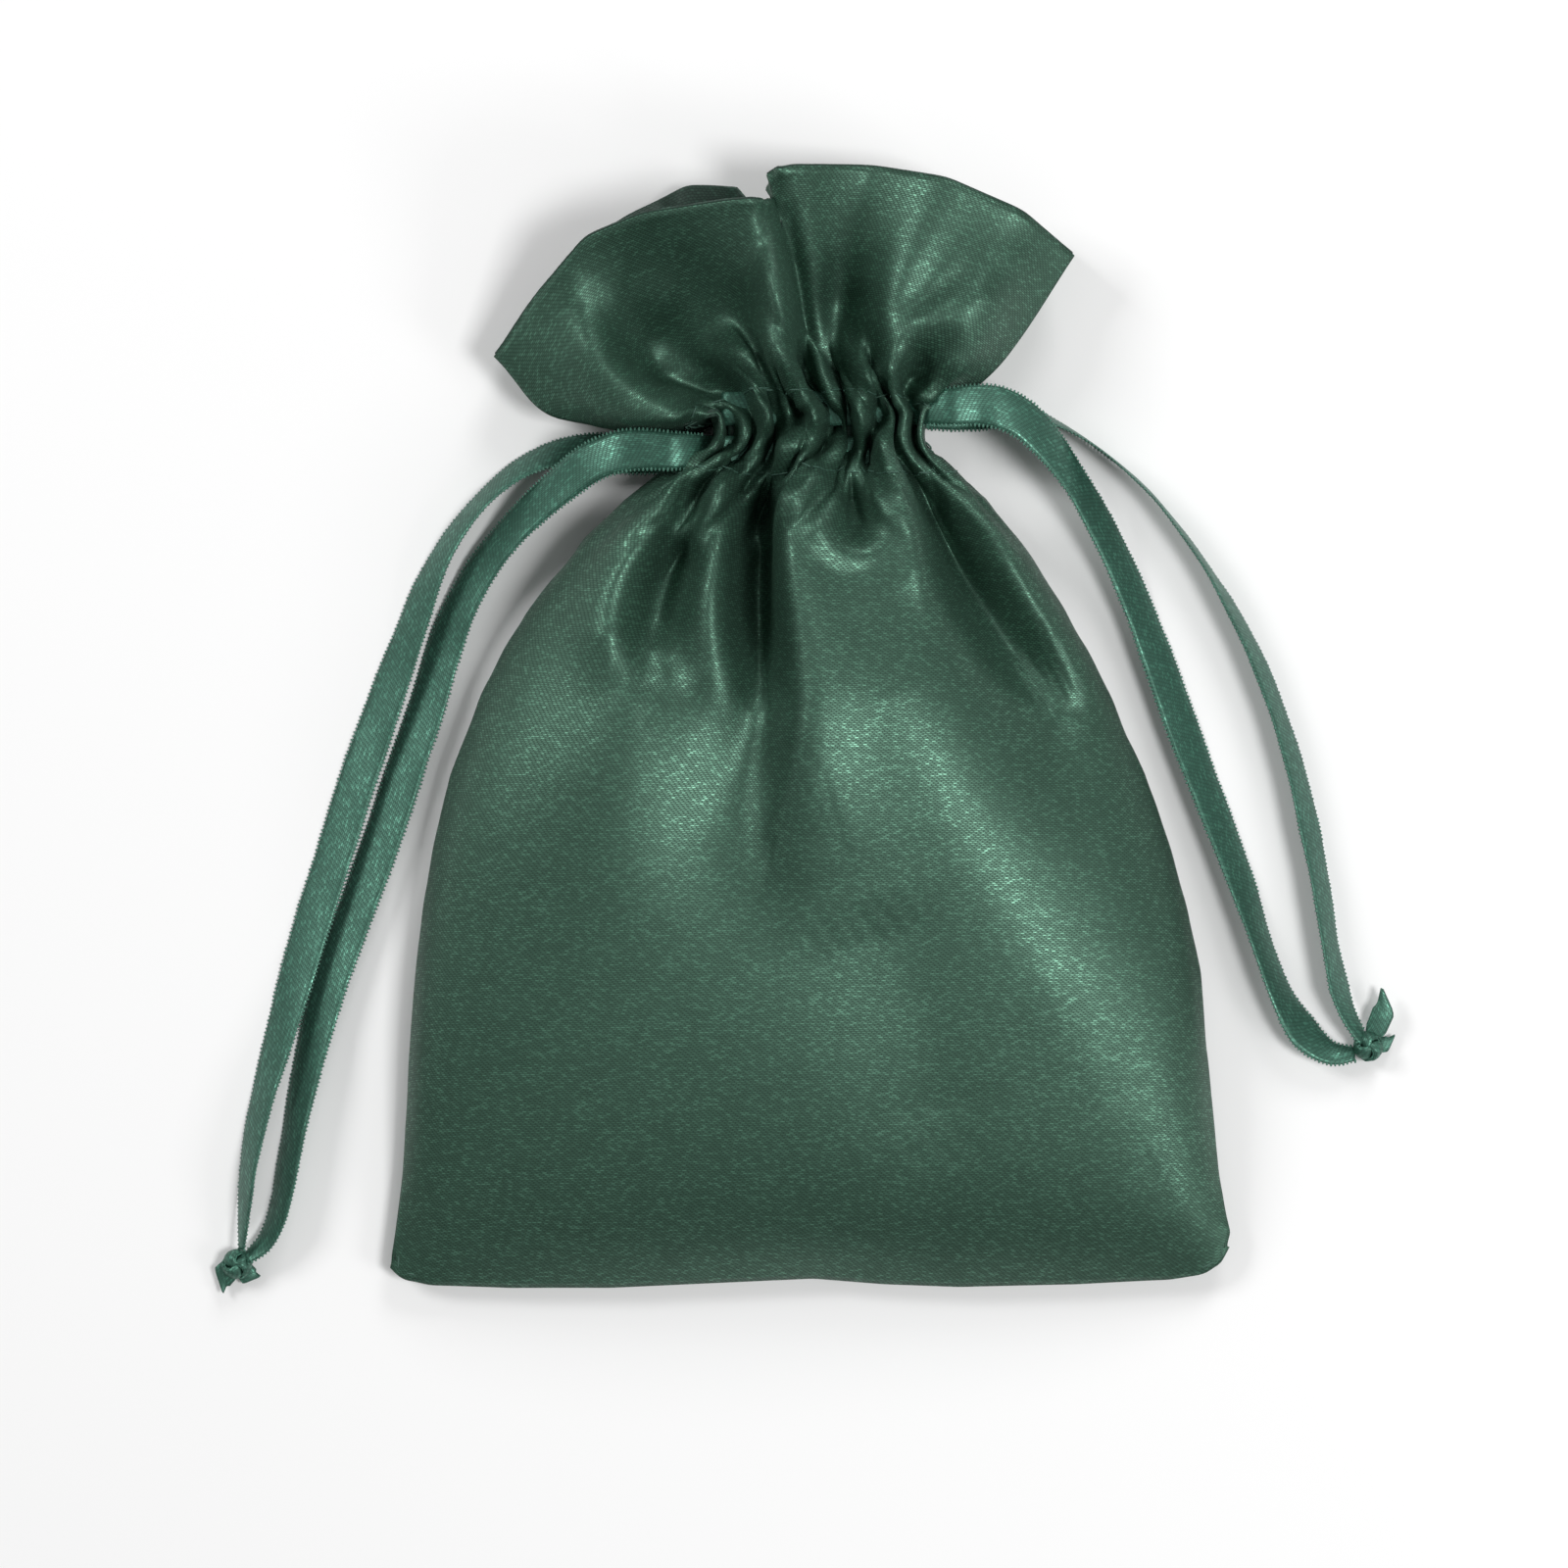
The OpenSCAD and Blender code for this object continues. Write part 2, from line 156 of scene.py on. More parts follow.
def hermite_rows(keys, rows, at):
    """A smooth surface through the rows, which stand at the increasing keys."""
    keys, rows = np.array(keys, float), np.array(rows)
    slope = np.zeros_like(rows)
    for i in range(len(keys)):
        a, b = max(i - 1, 0), min(i + 1, len(keys) - 1)
        slope[i] = (rows[b] - rows[a]) / (keys[b] - keys[a])
    out = []
    for q in at:
        i = int(np.clip(np.searchsorted(keys, q) - 1, 0, len(keys) - 2))
        h = keys[i + 1] - keys[i]
        s = (q - keys[i]) / h
        out.append((2 * s**3 - 3 * s**2 + 1) * rows[i] + (s**3 - 2 * s**2 + s) * h * slope[i]
                   + (3 * s**2 - 2 * s**3) * rows[i + 1] + (s**3 - s**2) * h * slope[i + 1])
    return np.array(out)


def doubled(grid):
    """A grid of points with a new point between each two, on smooth curves through them."""
    for axis in (0, 1):
        g = np.moveaxis(grid, axis, 0)
        before = np.concatenate([2 * g[:1] - g[1:2], g[:-2]])
        after = np.concatenate([g[2:], 2 * g[-1:] - g[-2:-1]])
        middle = (9 * (g[:-1] + g[1:]) - before - after) / 16
        fine = np.empty((2 * len(g) - 1,) + g.shape[1:])
        fine[0::2], fine[1::2] = g, middle
        grid = np.moveaxis(fine, 0, axis)
    return grid


def grid_normals(grid):
    return unit(np.cross(np.gradient(grid, axis=1), np.gradient(grid, axis=0)))


def smoothed(grid, passes, share):
    """Inner points move towards the mean of their four neighbours, by each row's share."""
    share = share[1:-1, None, None]
    for _ in range(passes):
        mean = (grid[:-2, 1:-1] + grid[2:, 1:-1] + grid[1:-1, :-2] + grid[1:-1, 2:]) / 4
        grid = grid.copy()
        grid[1:-1, 1:-1] += (mean - grid[1:-1, 1:-1]) * share
    return grid


# ---------------------------------------------------------------- the gathered cloth, in millimetres

# each panel's flat size, and how far along it the facing's cut edge lies
PANEL_W, PANEL_L = 127.0, 178.0
FACING_FROM = 129.0
COLUMNS, ROWS = 108, 90
SLIT = (131.0, 143.5)
GATHER = (134.3, 140.7)
GATHER_Y = (42.2, 47.8)
BOTTOM_Y = -84.0
NECK_ENDS = (-15.6, 17.6)
NECK_MIDDLE, NECK_TOP, NECK_UNDER = 8.2, 15.8, 0.6
HIGHEST = 30.0

# ridges and valleys across the neck: (x, share of the pleat's depth)
LOWER_PLEATS = [(-14.4, .1), (-13.4, .95), (-11.6, .0), (-10.3, .0), (-10.1, .9), (-8.2, .1), (-7.6, .2),
                (-5.9, 1.2), (-4.5, .0), (-2.2, -.08), (-1.8, .5), (0.2, .1), (1.6, 1.0), (3.4, .05),
                (5.3, .15), (5.0, 1.0), (7.6, .0), (8.6, 1.0), (10.4, -.05), (12.3, .2), (11.9, 1.0),
                (14.2, .0), (15.9, .9), (16.9, .2)]
UPPER_PLEATS = [(-14.0, .1), (-13.6, .9), (-10.8, .3), (-8.8, 1.0), (-6.4, .0), (-5.8, 1.1), (-3.4, .45),
                (-1.2, 1.0), (0.2, -.05), (3.2, 1.1), (4.6, .3), (5.6, .9), (6.9, .0), (10.2, 1.1),
                (12.2, .35), (12.6, .9), (13.9, .0), (15.8, .95), (16.7, .2)]
BACK_PLEATS = [(-14.4, .2), (-12.6, .95), (-10.8, .05), (-9.0, 1.0), (-7.2, 0), (-5.0, .95), (-3.6, .1),
               (-1.6, 1.0), (0.4, 0), (2.2, .95), (3.8, .1), (5.6, 1.0), (7.6, .05), (9.2, .95),
               (11.0, .1), (12.6, 1.0), (14.4, .1), (15.8, .9), (16.8, .3)]

# rows of the body that have folds: y, left x, right x, (x, share of the fold's height)
BODY_ROWS = [
    (34.5, -28.6, 26.6, [(-25, .3), (-21.6, 1), (-17.6, -.8), (-14.0, .9), (-11.6, -.2), (-9.4, .1),
                         (-6.9, -1.5), (-5.2, -.9), (-3.9, 1.3), (-0.4, .9), (1.6, .1), (4.0, .9),
                         (7.0, -.6), (10.4, 1.0), (14.4, .8), (18.2, -1.1), (22.0, .9)]),
    (25.0, -37.6, 34.6, [(-33, .1), (-26.5, 1), (-20.5, -1), (-14.0, 1), (-8.0, -1.5), (-5.4, -1.0),
                         (-3.9, 1.2), (1, .8), (8.5, .75), (13.5, .95), (22.5, -1.2), (28.5, .9)]),
    (15.0, -45.4, 40.6, [(-37, .1), (-28.5, .95), (-23.0, -.9), (-16.2, .9), (-9.4, -1.5), (-5.4, -1.0),
                         (-3.4, 1.1), (4, .75), (12, .9), (19, .5), (27.2, -1.1), (33.5, .6)]),
    (5.0, -50.8, 46.0, [(-36, .1), (-26, .7), (-19, -.1), (-13, .5), (-7.6, -1.1), (-4.8, -.7),
                        (-2.4, 1.0), (5, .8), (12, .9), (24, .4), (35.5, -.9), (41, .3)]),
    (-10.0, -55.5, 52.2, [(-28, .35), (-12, -.5), (-7.5, -.55), (-4.5, .6), (5, .7), (20, .35),
                          (38, -.35)]),
    (-30.0, -58.9, 57.6, [(-40, .3), (-18, -.35), (2, .45), (14, .5), (30, .1), (44, .45)]),
    (-48.0, -60.3, 60.0, [(-38, .35), (-20, -.1), (0, .35), (17, -.35), (33, .5), (48, .1)]),
    (-64.0, -61.5, 61.6, [(-34, .3), (-8, .1), (18, -.5), (38, .4), (50, 0)]),
]

# the header above the gather: points across it, left to right
NEAR_FRONT = [(-23.5, 45.6, 8), (-22.5, 46.2, 14.5), (-19.5, 49.5, 12), (-17.0, 52.0, 5.5),
              (-14.0, 54.0, 6),
              (-11.5, 55, 14), (-9.5, 55.5, 17), (-7.6, 55.3, 12), (-5.0, 55.5, 21), (-2.8, 55, 19.5),
              (-2.6, 54.9, 8), (0.6, 55, 13.5), (2.6, 55.5, 7), (5.6, 55, 15.5), (8.2, 54, 16),
              (9.2, 53.6, 8.5), (12.0, 53, 15.5), (13.8, 52, 9.5), (17.2, 50.6, 15), (20.8, 48.4, 9)]
MIDDLE_FRONT = [(-31.5, 46.0, 8), (-30.3, 47.6, 15), (-27.0, 52.5, 12.5), (-22.5, 58.0, 3),
                (-16.5, 61.5, 4),
                (-11.5, 63, 11), (-8.5, 63.4, 17), (-5.4, 63.6, 25), (-3.2, 63, 23), (-2.6, 62.4, 9),
                (0.6, 63, 9), (3.6, 64, 5), (7.6, 63, 12), (11.5, 62, 18), (15.5, 60.5, 14),
                (19.5, 60, 18.5), (24.5, 58, 15.5), (28.8, 55.8, 9)]
HEM_FRONT = [(-47.2, 56.7, 9), (-41, 65, 13), (-33.3, 73.1, 19), (-25, 76, 22.5), (-18.6, 77.2, 23),
             (-12, 78, 25), (-8.4, 77.8, 26), (-5.5, 79, 17), (-4.5, 80, 12), (-6.4, 82.6, 17),
             (-5.5, 83.2, 20.5), (-2.5, 83.4, 20.5), (4, 84, 15.5), (9.2, 84.2, 13.5), (20, 81.9, 18),
             (31.2, 77.2, 17), (39.3, 71.4, 10)]
HEM_BACK = [(-47.2, 56.7, 9), (-43, 64, 3.5), (-36, 73, 1.2), (-27.4, 78.5, 3), (-18.6, 82.5, 6),
            (-11.3, 81.6, 10), (-7, 78.5, 10), (-3.5, 78, 4), (0, 80, 0.8), (6, 83, 2.0), (12, 81, 9),
            (18, 80, 10), (23, 79.5, 3), (29, 78.5, 1), (35, 76, 4), (39.3, 71.4, 10)]

# the outline that the sides settle to: y, left x, right x
OUTLINE = [(-80, -62.9, 62.6), (-76, -62.4, 63.0), (-66, -61.4, 61.4), (-56, -60.6, 60.3),
           (-46, -60.1, 59.3), (-36, -59.2, 58.5), (-26, -58.1, 56.4), (-16, -56.4, 53.7),
           (-6, -54.0, 50.2), (0, -51.6, 47.4),
           (6, -49.3, 45.0), (12, -46.4, 42.0), (18, -42.9, 38.6), (24, -38.5, 34.8), (29, -34.4, 31.4),
           (34, -29.0, 27.0)]
# the lower edge: x, y
LOWER_EDGE = [(-63.2, -80.2), (-61.5, -82.0), (-57, -83.2), (-45, -83.9), (-30, -84.0), (-14, -83.2),
              (0.4, -82.5), (11, -83.5), (22.4, -84.0), (40, -83.4), (54, -82.4), (59, -81.4),
              (61.6, -79.6), (63.2, -76.5)]


# broad folds that the settled front cloth is pressed into: height, width on the line's left, width on
# its right, and the line from the neck outwards as x, y
BROAD_FOLDS = [
    (2.6, 1.8, 7.0, [(-3.6, 40.9), (-3.4, 27.7), (-2.4, 16), (-0.9, 5), (-2.0, -6), (-4.5, -14)]),
    (-5.5, 4.4, 2.6, [(-8.4, 38), (-7.9, 27.7), (-7.0, 17.4), (-6.4, 9.5)]),
    (2.2, 4.4, 3.2, [(-12.5, 36.5), (-15, 27.7), (-14.2, 17.4), (-11.3, 6.4), (-6.5, 1)]),
    (-4.0, 4.6, 4.6, [(-17.9, 29.2), (-22.0, 23.3), (-23.2, 17.4), (-22.0, 12)]),
    (2.6, 5.0, 3.2, [(-16.4, 33.4), (-24.5, 27.4), (-28.4, 21.8), (-29.2, 14.5), (-26.4, 7.0)]),
    (1.8, 2.3, 2.1, [(-2.5, 37.9), (0.4, 30.6), (5.0, 26.0), (9.2, 27.2), (11, 31)]),
    (-2.8, 2.3, 2.3, [(2.2, 40.0), (4.4, 35.6), (6.6, 32.0)]),
    (2.2, 2.6, 3.4, [(9.5, 42), (13.3, 37.2), (15.0, 31), (16.0, 24), (18, 17)]),
    (-4.4, 4.6, 4.8, [(17.2, 39.5), (21, 33), (24.5, 22.6), (30.5, 12), (37.5, 4)]),
    (2.0, 3.6, 4.6, [(20.0, 40.0), (26.5, 31), (32.5, 20), (39, 9.5)]),
    (1.4, 9, 12, [(10, 18), (22, -8), (36, -34), (46, -54)]),
    (-1.0, 12, 9, [(8, -24), (15, -44), (20, -66)]),
    (-4.6, 3.6, 4.2, [(-13.8, 49.4), (-20.0, 54.0), (-26.6, 57.6)]),
    (3.4, 4.6, 5.2, [(-10.0, 52.0), (-13.4, 58.4), (-19.4, 63.6), (-27.0, 66.4)]),
    (3.2, 4.0, 4.2, [(-15.5, 46.6), (-23, 48.6), (-30.3, 54.3), (-34.7, 63.9)]),
    (3.2, 3.4, 2.6, [(-6.4, 50.0), (-4.6, 55.5), (-5.2, 64.3), (-7.2, 73.1)]),
    (-5.0, 1.5, 1.8, [(-0.4, 51.1), (-0.9, 58), (-2.2, 67.3), (-3.8, 76)]),
    (-3.5, 3.0, 3.6, [(4.0, 52.1), (5.0, 57), (5.8, 68)]),
    (3.0, 2.6, 2.6, [(10.9, 50.2), (10.2, 53.3), (13.8, 58.5), (20.0, 63.4)]),
    (-3.2, 3.2, 3.2, [(15.2, 51.5), (18.4, 56.0)]),
    (2.4, 3.8, 5.0, [(19.8, 51.6), (23, 58.5), (28.8, 68)]),
    (3.4, 1.5, 1.7, [(4.2, 50.6), (0.6, 47.0), (-2.2, 43.6), (-1.2, 40.6), (1.0, 37.0), (4.0, 33.0)]),
    (2.8, 1.1, 1.3, [(-8.6, 49.4), (-6.6, 46.6), (-4.6, 44.0), (-4.2, 40.8)]),
    (3.0, 1.4, 1.4, [(12.6, 54.6), (8.6, 52.4), (7.2, 49.2), (8.8, 45.6), (11.6, 41.6), (13.4, 38.0)]),
    (-3.4, 1.5, 1.5, [(3.2, 48.6), (4.6, 45.4), (7.6, 41.6), (10.4, 37.8)]),
    (-3.4, 1.6, 1.4, [(-12.2, 49.8), (-11.4, 45.8), (-10.9, 41.0), (-10.6, 35.0)]),
    (2.4, 1.5, 1.5, [(-16.2, 44.0), (-13.8, 41.6), (-13.0, 38.0), (-13.6, 34.0)]),
]


def pressed(grid):
    """Raises and lowers the cloth along its broad folds."""
    flat = grid.reshape(-1, 3).copy()
    change = np.zeros(len(flat))
    for height, left, right, line in BROAD_FOLDS:
        line, _ = rounded(np.array([(x, y, 0.0) for x, y in line]), 40, 1.5)
        line = line[:, :2]
        away = flat[:, None, :2] - line[None]
        near = np.argmin((away**2).sum(-1), axis=1)
        along = directions(line)
        off = away[np.arange(len(flat)), near]
        turn = along[near, 0] * off[:, 1] - along[near, 1] * off[:, 0]
        upward = line[-1, 1] > line[0, 1]
        on_left = (turn > 0) == upward
        width = np.where(on_left, left, right)
        ends = np.clip(np.minimum(near / 6.0, (39 - near) / 10.0), 0, 1)
        change += height * np.exp(-(off**2).sum(1) / width**2) * (0.35 + 0.65 * ends)
    # above the gather the front stays clear of the back, without a sharp limit
    lowest = np.interp(flat[:, 1], [30, 48, 54, 72, 80], [1.2, 1.2, 4.2, 4.2, 1.2])
    soft = np.interp(flat[:, 1], [46, 54, 72, 80], [0.05, 2.2, 2.2, 0.05])
    z = lowest + soft * np.logaddexp(0, (flat[:, 2] + change - lowest) / soft)
    flat[:, 2] = np.minimum(z, HIGHEST)
    return flat.reshape(grid.shape)


def fitted(build, low, high, soft):
    """Deepens the folds of a row until it holds the whole width of the cloth."""
    for _ in range(22):
        middle = (low + high) / 2
        line, length = rounded(build(middle), COLUMNS + 1, soft)
        low, high = (middle, high) if length < PANEL_W else (low, middle)
    return line


def neck_row(pleats, side, y):
    top = NECK_TOP if side > 0 else NECK_UNDER

    def build(depth):
        ends = [(x, y, NECK_MIDDLE + side * 0.5) for x in NECK_ENDS]
        return ends[:1] + [(x, y, top - side * depth * k) for x, k in pleats] + ends[1:]

    return fitted(build, 1, 14, 0.5)


def dome(y, across, side):
    """Height of the lightly filled body, without its folds."""
    s = np.clip((y - BOTTOM_Y) / (40 - BOTTOM_Y), 0, 1)
    seam = 4 + (NECK_MIDDLE - 4) * s
    rise = 7 * s + 13.0 * np.sin(np.pi * s**0.8) ** 0.75
    if side < 0:
        rise = -7 * s - 3 * np.sin(np.pi * s) ** 0.75
    return seam + rise * np.clip(1 - np.abs(across) ** 2.4, 0, 1) ** (1 / 2.4)


def body_row(y, left, right, folds, side):
    middle, half = (left + right) / 2, (right - left) / 2
    xs = np.linspace(left, right, 121)
    share = np.interp(xs, [left] + [f[0] for f in folds] + [right], [0] + [f[1] for f in folds] + [0])

    def build(depth):
        z = dome(y, (xs - middle) / half, side) + depth * share
        return list(zip(xs, np.full(len(xs), y), z))

    return fitted(build, 0.2, 6.5, 1.1)


def plain_row(y, side):
    s = np.clip((y - BOTTOM_Y) / (38.5 - BOTTOM_Y), 0, 1)
    half = 16.5 + (63.3 - 16.5) * np.sqrt(1 - s**2)
    xs = np.linspace(-half, half, 81)
    return rounded(list(zip(xs, np.full(81, y), dome(y, xs / half, side))), COLUMNS + 1, 1.0)[0]


def header_row(points):
    points = np.array(points, float)
    base = np.interp(np.linspace(0, 1, len(points)), [0, 1], [points[0, 2], points[-1, 2]])

    def build(k):
        p = points.copy()
        p[1:-1, 2] = np.maximum(0.6, base[1:-1] + k * (points[1:-1, 2] - base[1:-1]))
        return p

    return fitted(build, 0.4, 2.2, 1.1)


def back_header_row(first, last, rise, folds):
    """The back of the header, which lies in even folds on the table."""
    n = 2 * folds + 1
    s = np.linspace(0, 1, n)
    points = np.zeros((n, 3))
    points[:, 0] = first[0] + (last[0] - first[0]) * s
    points[:, 1] = first[1] + (last[1] - first[1]) * s + rise * (1 - (2 * s - 1) ** 2)
    points[:, 2] = np.where(np.arange(n) % 2 == 1, 1.0, 3.4)
    points[0], points[-1] = first, last

    def build(k):
        p = points.copy()
        p[1:-1, 1] += np.where(np.arange(1, n - 1) % 2 == 1, -k, k)
        return p

    return fitted(build, 0.0, 5.0, 1.0)


def gathered_start(side):
    """The panel's gathered shape, from which the simulation settles it."""
    place = lambda y: (y - BOTTOM_Y) / (GATHER_Y[0] - BOTTOM_Y) * GATHER[0]
    keys, rows = [], []
    for y in (-84.0, -76.0):
        keys.append(place(y))
        rows.append(plain_row(y, side))
    for y, left, right, folds in reversed(BODY_ROWS):
        if side < 0:
            folds = [(x, -0.45 * k) for x, k in folds]
        keys.append(place(y))
        rows.append(body_row(y, left, right, folds, side))
    pleats = (LOWER_PLEATS, UPPER_PLEATS) if side > 0 else (BACK_PLEATS, BACK_PLEATS)
    keys += list(GATHER)
    rows += [neck_row(p, side, y) for p, y in zip(pleats, GATHER_Y)]
    keys += [149.0, 158.0, PANEL_L]
    if side > 0:
        rows += [header_row(NEAR_FRONT), header_row(MIDDLE_FRONT), header_row(HEM_FRONT)]
    else:
        rows += [back_header_row(NEAR_FRONT[0], NEAR_FRONT[-1], 6.0, 9),
                 back_header_row(MIDDLE_FRONT[0], MIDDLE_FRONT[-1], 11.0, 7), header_row(HEM_BACK)]
    grid = hermite_rows(keys, rows, np.linspace(0, PANEL_L, ROWS + 1))
    grid[..., 2] = np.maximum(grid[..., 2], 0.6)
    return grid


def cloth_layout():
    """Both panels as one sewn bag: start and flat points, faces, and each panel's grid of indices."""
    cut = np.linspace(0, PANEL_L, ROWS + 1)
    front, back = gathered_start(1), gathered_start(-1)
    flat = np.zeros((ROWS + 1, COLUMNS + 1, 3))
    flat[..., 0] = np.linspace(-PANEL_W / 2, PANEL_W / 2, COLUMNS + 1)[None, :]
    flat[..., 1] = cut[:, None]
    front_ids = np.arange((ROWS + 1) * (COLUMNS + 1)).reshape(ROWS + 1, COLUMNS + 1)
    back_ids = front_ids.copy()
    start, rest = [], []
    for j in range(ROWS + 1):
        open_side = SLIT[0] <= cut[j] <= SLIT[1]
        for i in range(COLUMNS + 1):
            if j == 0 or (i in (0, COLUMNS) and not open_side):
                front[j, i] = (front[j, i] + back[j, i]) / 2
            else:
                back_ids[j, i] = front_ids.size + len(start)
                start.append(back[j, i])
                rest.append(flat[j, i])
    faces = np.r_[quads(front_ids), quads(back_ids)[:, ::-1]]
    return (np.r_[front.reshape(-1, 3), start], np.r_[flat.reshape(-1, 3), rest], faces,
            front_ids, back_ids, cut)


def relaxed(start, rest, faces, pins, frames, bending, pressure):
    """Settles the gathered bag with the cloth solver, ten times its size so that it is steady."""
    scene = bpy.context.scene
    size = 10 * MM
    mesh = bpy.data.meshes.new("settling")
    mesh.from_pydata((rest * size).tolist(), [], faces.tolist())
    bag = new_object("settling", mesh)
    bag.shape_key_add(name="Basis")
    key = bag.shape_key_add(name="start")
    key.data.foreach_set("co", (start * size).ravel())
    key.value = 1.0
    group = bag.vertex_groups.new(name="pin")
    for weight in sorted(set(pins)):
        if weight > 0:
            group.add(np.nonzero(pins == weight)[0].tolist(), float(weight), "REPLACE")
    plate = bpy.data.meshes.new("settling_table")
    plate.from_pydata([(-3, -3, 0), (3, -3, 0), (3, 3, 0), (-3, 3, 0)], [], [(0, 1, 2, 3)])
    table = new_object("settling_table", plate)
    table.modifiers.new("collision", "COLLISION")
    table.collision.thickness_outer = 0.003
    table.collision.cloth_friction = 20
    cloth = bag.modifiers.new("cloth", "CLOTH")
    s = cloth.settings
    for key, value in {
            "vertex_group_mass": "pin", "pin_stiffness": 1, "quality": 6, "mass": 0.1,
            "tension_stiffness": 40, "compression_stiffness": 40, "shear_stiffness": 10,
            "bending_model": "ANGULAR", "bending_stiffness": bending, "tension_damping": 5,
            "compression_damping": 5, "shear_damping": 5, "bending_damping": 1, "air_damping": 2,
            "use_pressure": True, "uniform_pressure_force": pressure}.items():
        setattr(s, key, value)
    s.effector_weights.gravity = 0.5
    s.rest_shape_key = mesh.shape_keys.key_blocks["Basis"]
    for key, value in {
            "use_collision": True, "distance_min": 0.004, "use_self_collision": True,
            "self_distance_min": 0.005, "collision_quality": 2}.items():
        setattr(cloth.collision_settings, key, value)
    for f in range(1, frames + 1):
        scene.frame_set(f)
    settled = bag.evaluated_get(bpy.context.evaluated_depsgraph_get())
    co = np.zeros(len(start) * 3)
    settled.data.vertices.foreach_get("co", co)
    scene.frame_set(1)
    for o in (bag, table):
        data = o.data
        bpy.data.objects.remove(o)
        bpy.data.meshes.remove(data)
    return co.reshape(-1, 3) / size


def to_outline(points):
    """Moves the body's sides and lower edge to the outline."""
    outline = np.array(OUTLINE)
    levels = np.linspace(-81, 36, 79)
    found = np.zeros((len(levels), 2))
    for k, y in enumerate(levels):
        near = points[np.abs(points[:, 1] - y) < 1.6]
        found[k] = near[:, 0].min(), near[:, 0].max()
    kernel = np.ones(7) / 7
    for side in (0, 1):
        ends = np.r_[np.full(3, found[0, side]), found[:, side], np.full(3, found[-1, side])]
        found[:, side] = np.convolve(ends, kernel, "valid")
    y = points[:, 1]
    left, right = (np.interp(y, levels, found[:, k]) for k in (0, 1))
    aim_left, aim_right = (np.interp(y, outline[:, 0], outline[:, k]) for k in (1, 2))
    share = (points[:, 0] - left) / (right - left)
    moved = aim_left + share * (aim_right - aim_left)
    fade = np.clip((37 - y) / 8, 0, 1)
    points = points.copy()
    points[:, 0] += (moved - points[:, 0]) * fade
    edge = np.array(LOWER_EDGE)
    lift = np.interp(points[:, 0], edge[:, 0], edge[:, 1]) - BOTTOM_Y
    low = points[:, 1].min()
    points[:, 1] += (lift + BOTTOM_Y - low) * np.clip(1 - (points[:, 1] - low) / 12, 0, 1) ** 1.5
    return points


def with_round_tip(points):
    """Fills out the ruffle's left side, below its tip."""
    x, y = points[:, 0], points[:, 1]
    side = np.interp(x, [-47.2, -31.5, -23.5], [56.7, 46.0, 45.6])
    near = np.exp(-((y - side) / 6) ** 2) * (y > 44) * np.exp(-((x + 39.5) / 5.5) ** 2)
    points = points.copy()
    points[:, 1] -= 2.8 * near
    points[:, 0] -= 0.8 * near
    return points


# how firmly the simulation's points are held, by their place along the cloth
HEADER_HOLD, BODY_HOLD = 0.45, 0.12
HELD_FROM, SHOULDER = 60.0, 135.0
# places along the cloth, and the share of smoothing there
SMOOTHING = ([0, 90, 108, 118, 127, 146, 154, 164, PANEL_L], [0.9, 0.9, 0.7, 0.08, 0, 0, 0.04, 0.4, 0.7])
SMOOTHING_PASSES = 26
panels = {}


def settled_panels():
    """The front and back panel as doubled grids of points, made once."""
    if not panels:
        cloth = settings("sack_cloth")
        start, rest, faces, front_ids, back_ids, cut = cloth_layout()
        pins = np.zeros(len(start))
        for j in range(ROWS + 1):
            ids = np.r_[front_ids[j], back_ids[j]]
            if GATHER[0] - 0.8 <= cut[j] <= GATHER[1] + 0.8:
                pins[ids] = 1.0
            elif cut[j] > GATHER[1]:
                pins[ids] = round(HEADER_HOLD * (cut[j] - GATHER[1]) / (PANEL_L - GATHER[1]), 3)
            elif cut[j] > HELD_FROM:
                pins[ids] = round(BODY_HOLD * (cut[j] - HELD_FROM) / (SHOULDER - HELD_FROM), 4)
        frames = cloth.relax_frames
        points = start
        if frames:
            points = relaxed(start, rest, faces, pins, frames, cloth.bending, cloth.pressure)
        points = with_round_tip(to_outline(points))
        points[:, 2] = np.maximum(points[:, 2], 0.5)
        for name, ids, way in (("front", front_ids, 1), ("back", back_ids, -1)):
            grid = doubled(smoothed(points[ids], SMOOTHING_PASSES, np.interp(cut, *SMOOTHING)))
            if name == "front":
                grid = pressed(grid)
            grid[..., 2] = np.maximum(grid[..., 2], 0.4)
            panels[name] = grid
            panels[name + "_out"] = grid_normals(grid) * way
    return panels


# ---------------------------------------------------------------- meshes


def new_object(name, data):
    obj = bpy.data.objects.new(name, data)
    bpy.context.scene.collection.objects.link(obj)
    return obj


def new_piece(name, points, faces, material, uv=None, attributes=None):
    """A mesh object in the frame, with its points in metres."""
    mesh = bpy.data.meshes.new(name)
    mesh.from_pydata(np.asarray(points, float).tolist(), [], [list(map(int, f)) for f in faces])
    if uv is not None:
        layer = mesh.uv_layers.new(name="Cloth")
        loops = np.zeros(len(mesh.loops), np.int32)
        mesh.loops.foreach_get("vertex_index", loops)
        layer.data.foreach_set("uv", np.asarray(uv, float)[loops].ravel())
    for key, values in (attributes or {}).items():
        data = mesh.attributes.new(key, "FLOAT_VECTOR", "POINT").data
        data.foreach_set("vector", np.asarray(values, float).ravel())
    mesh.polygons.foreach_set("use_smooth", [True] * len(mesh.polygons))
    mesh.materials.append(material)
    mesh.update()
    return new_object(name, mesh)


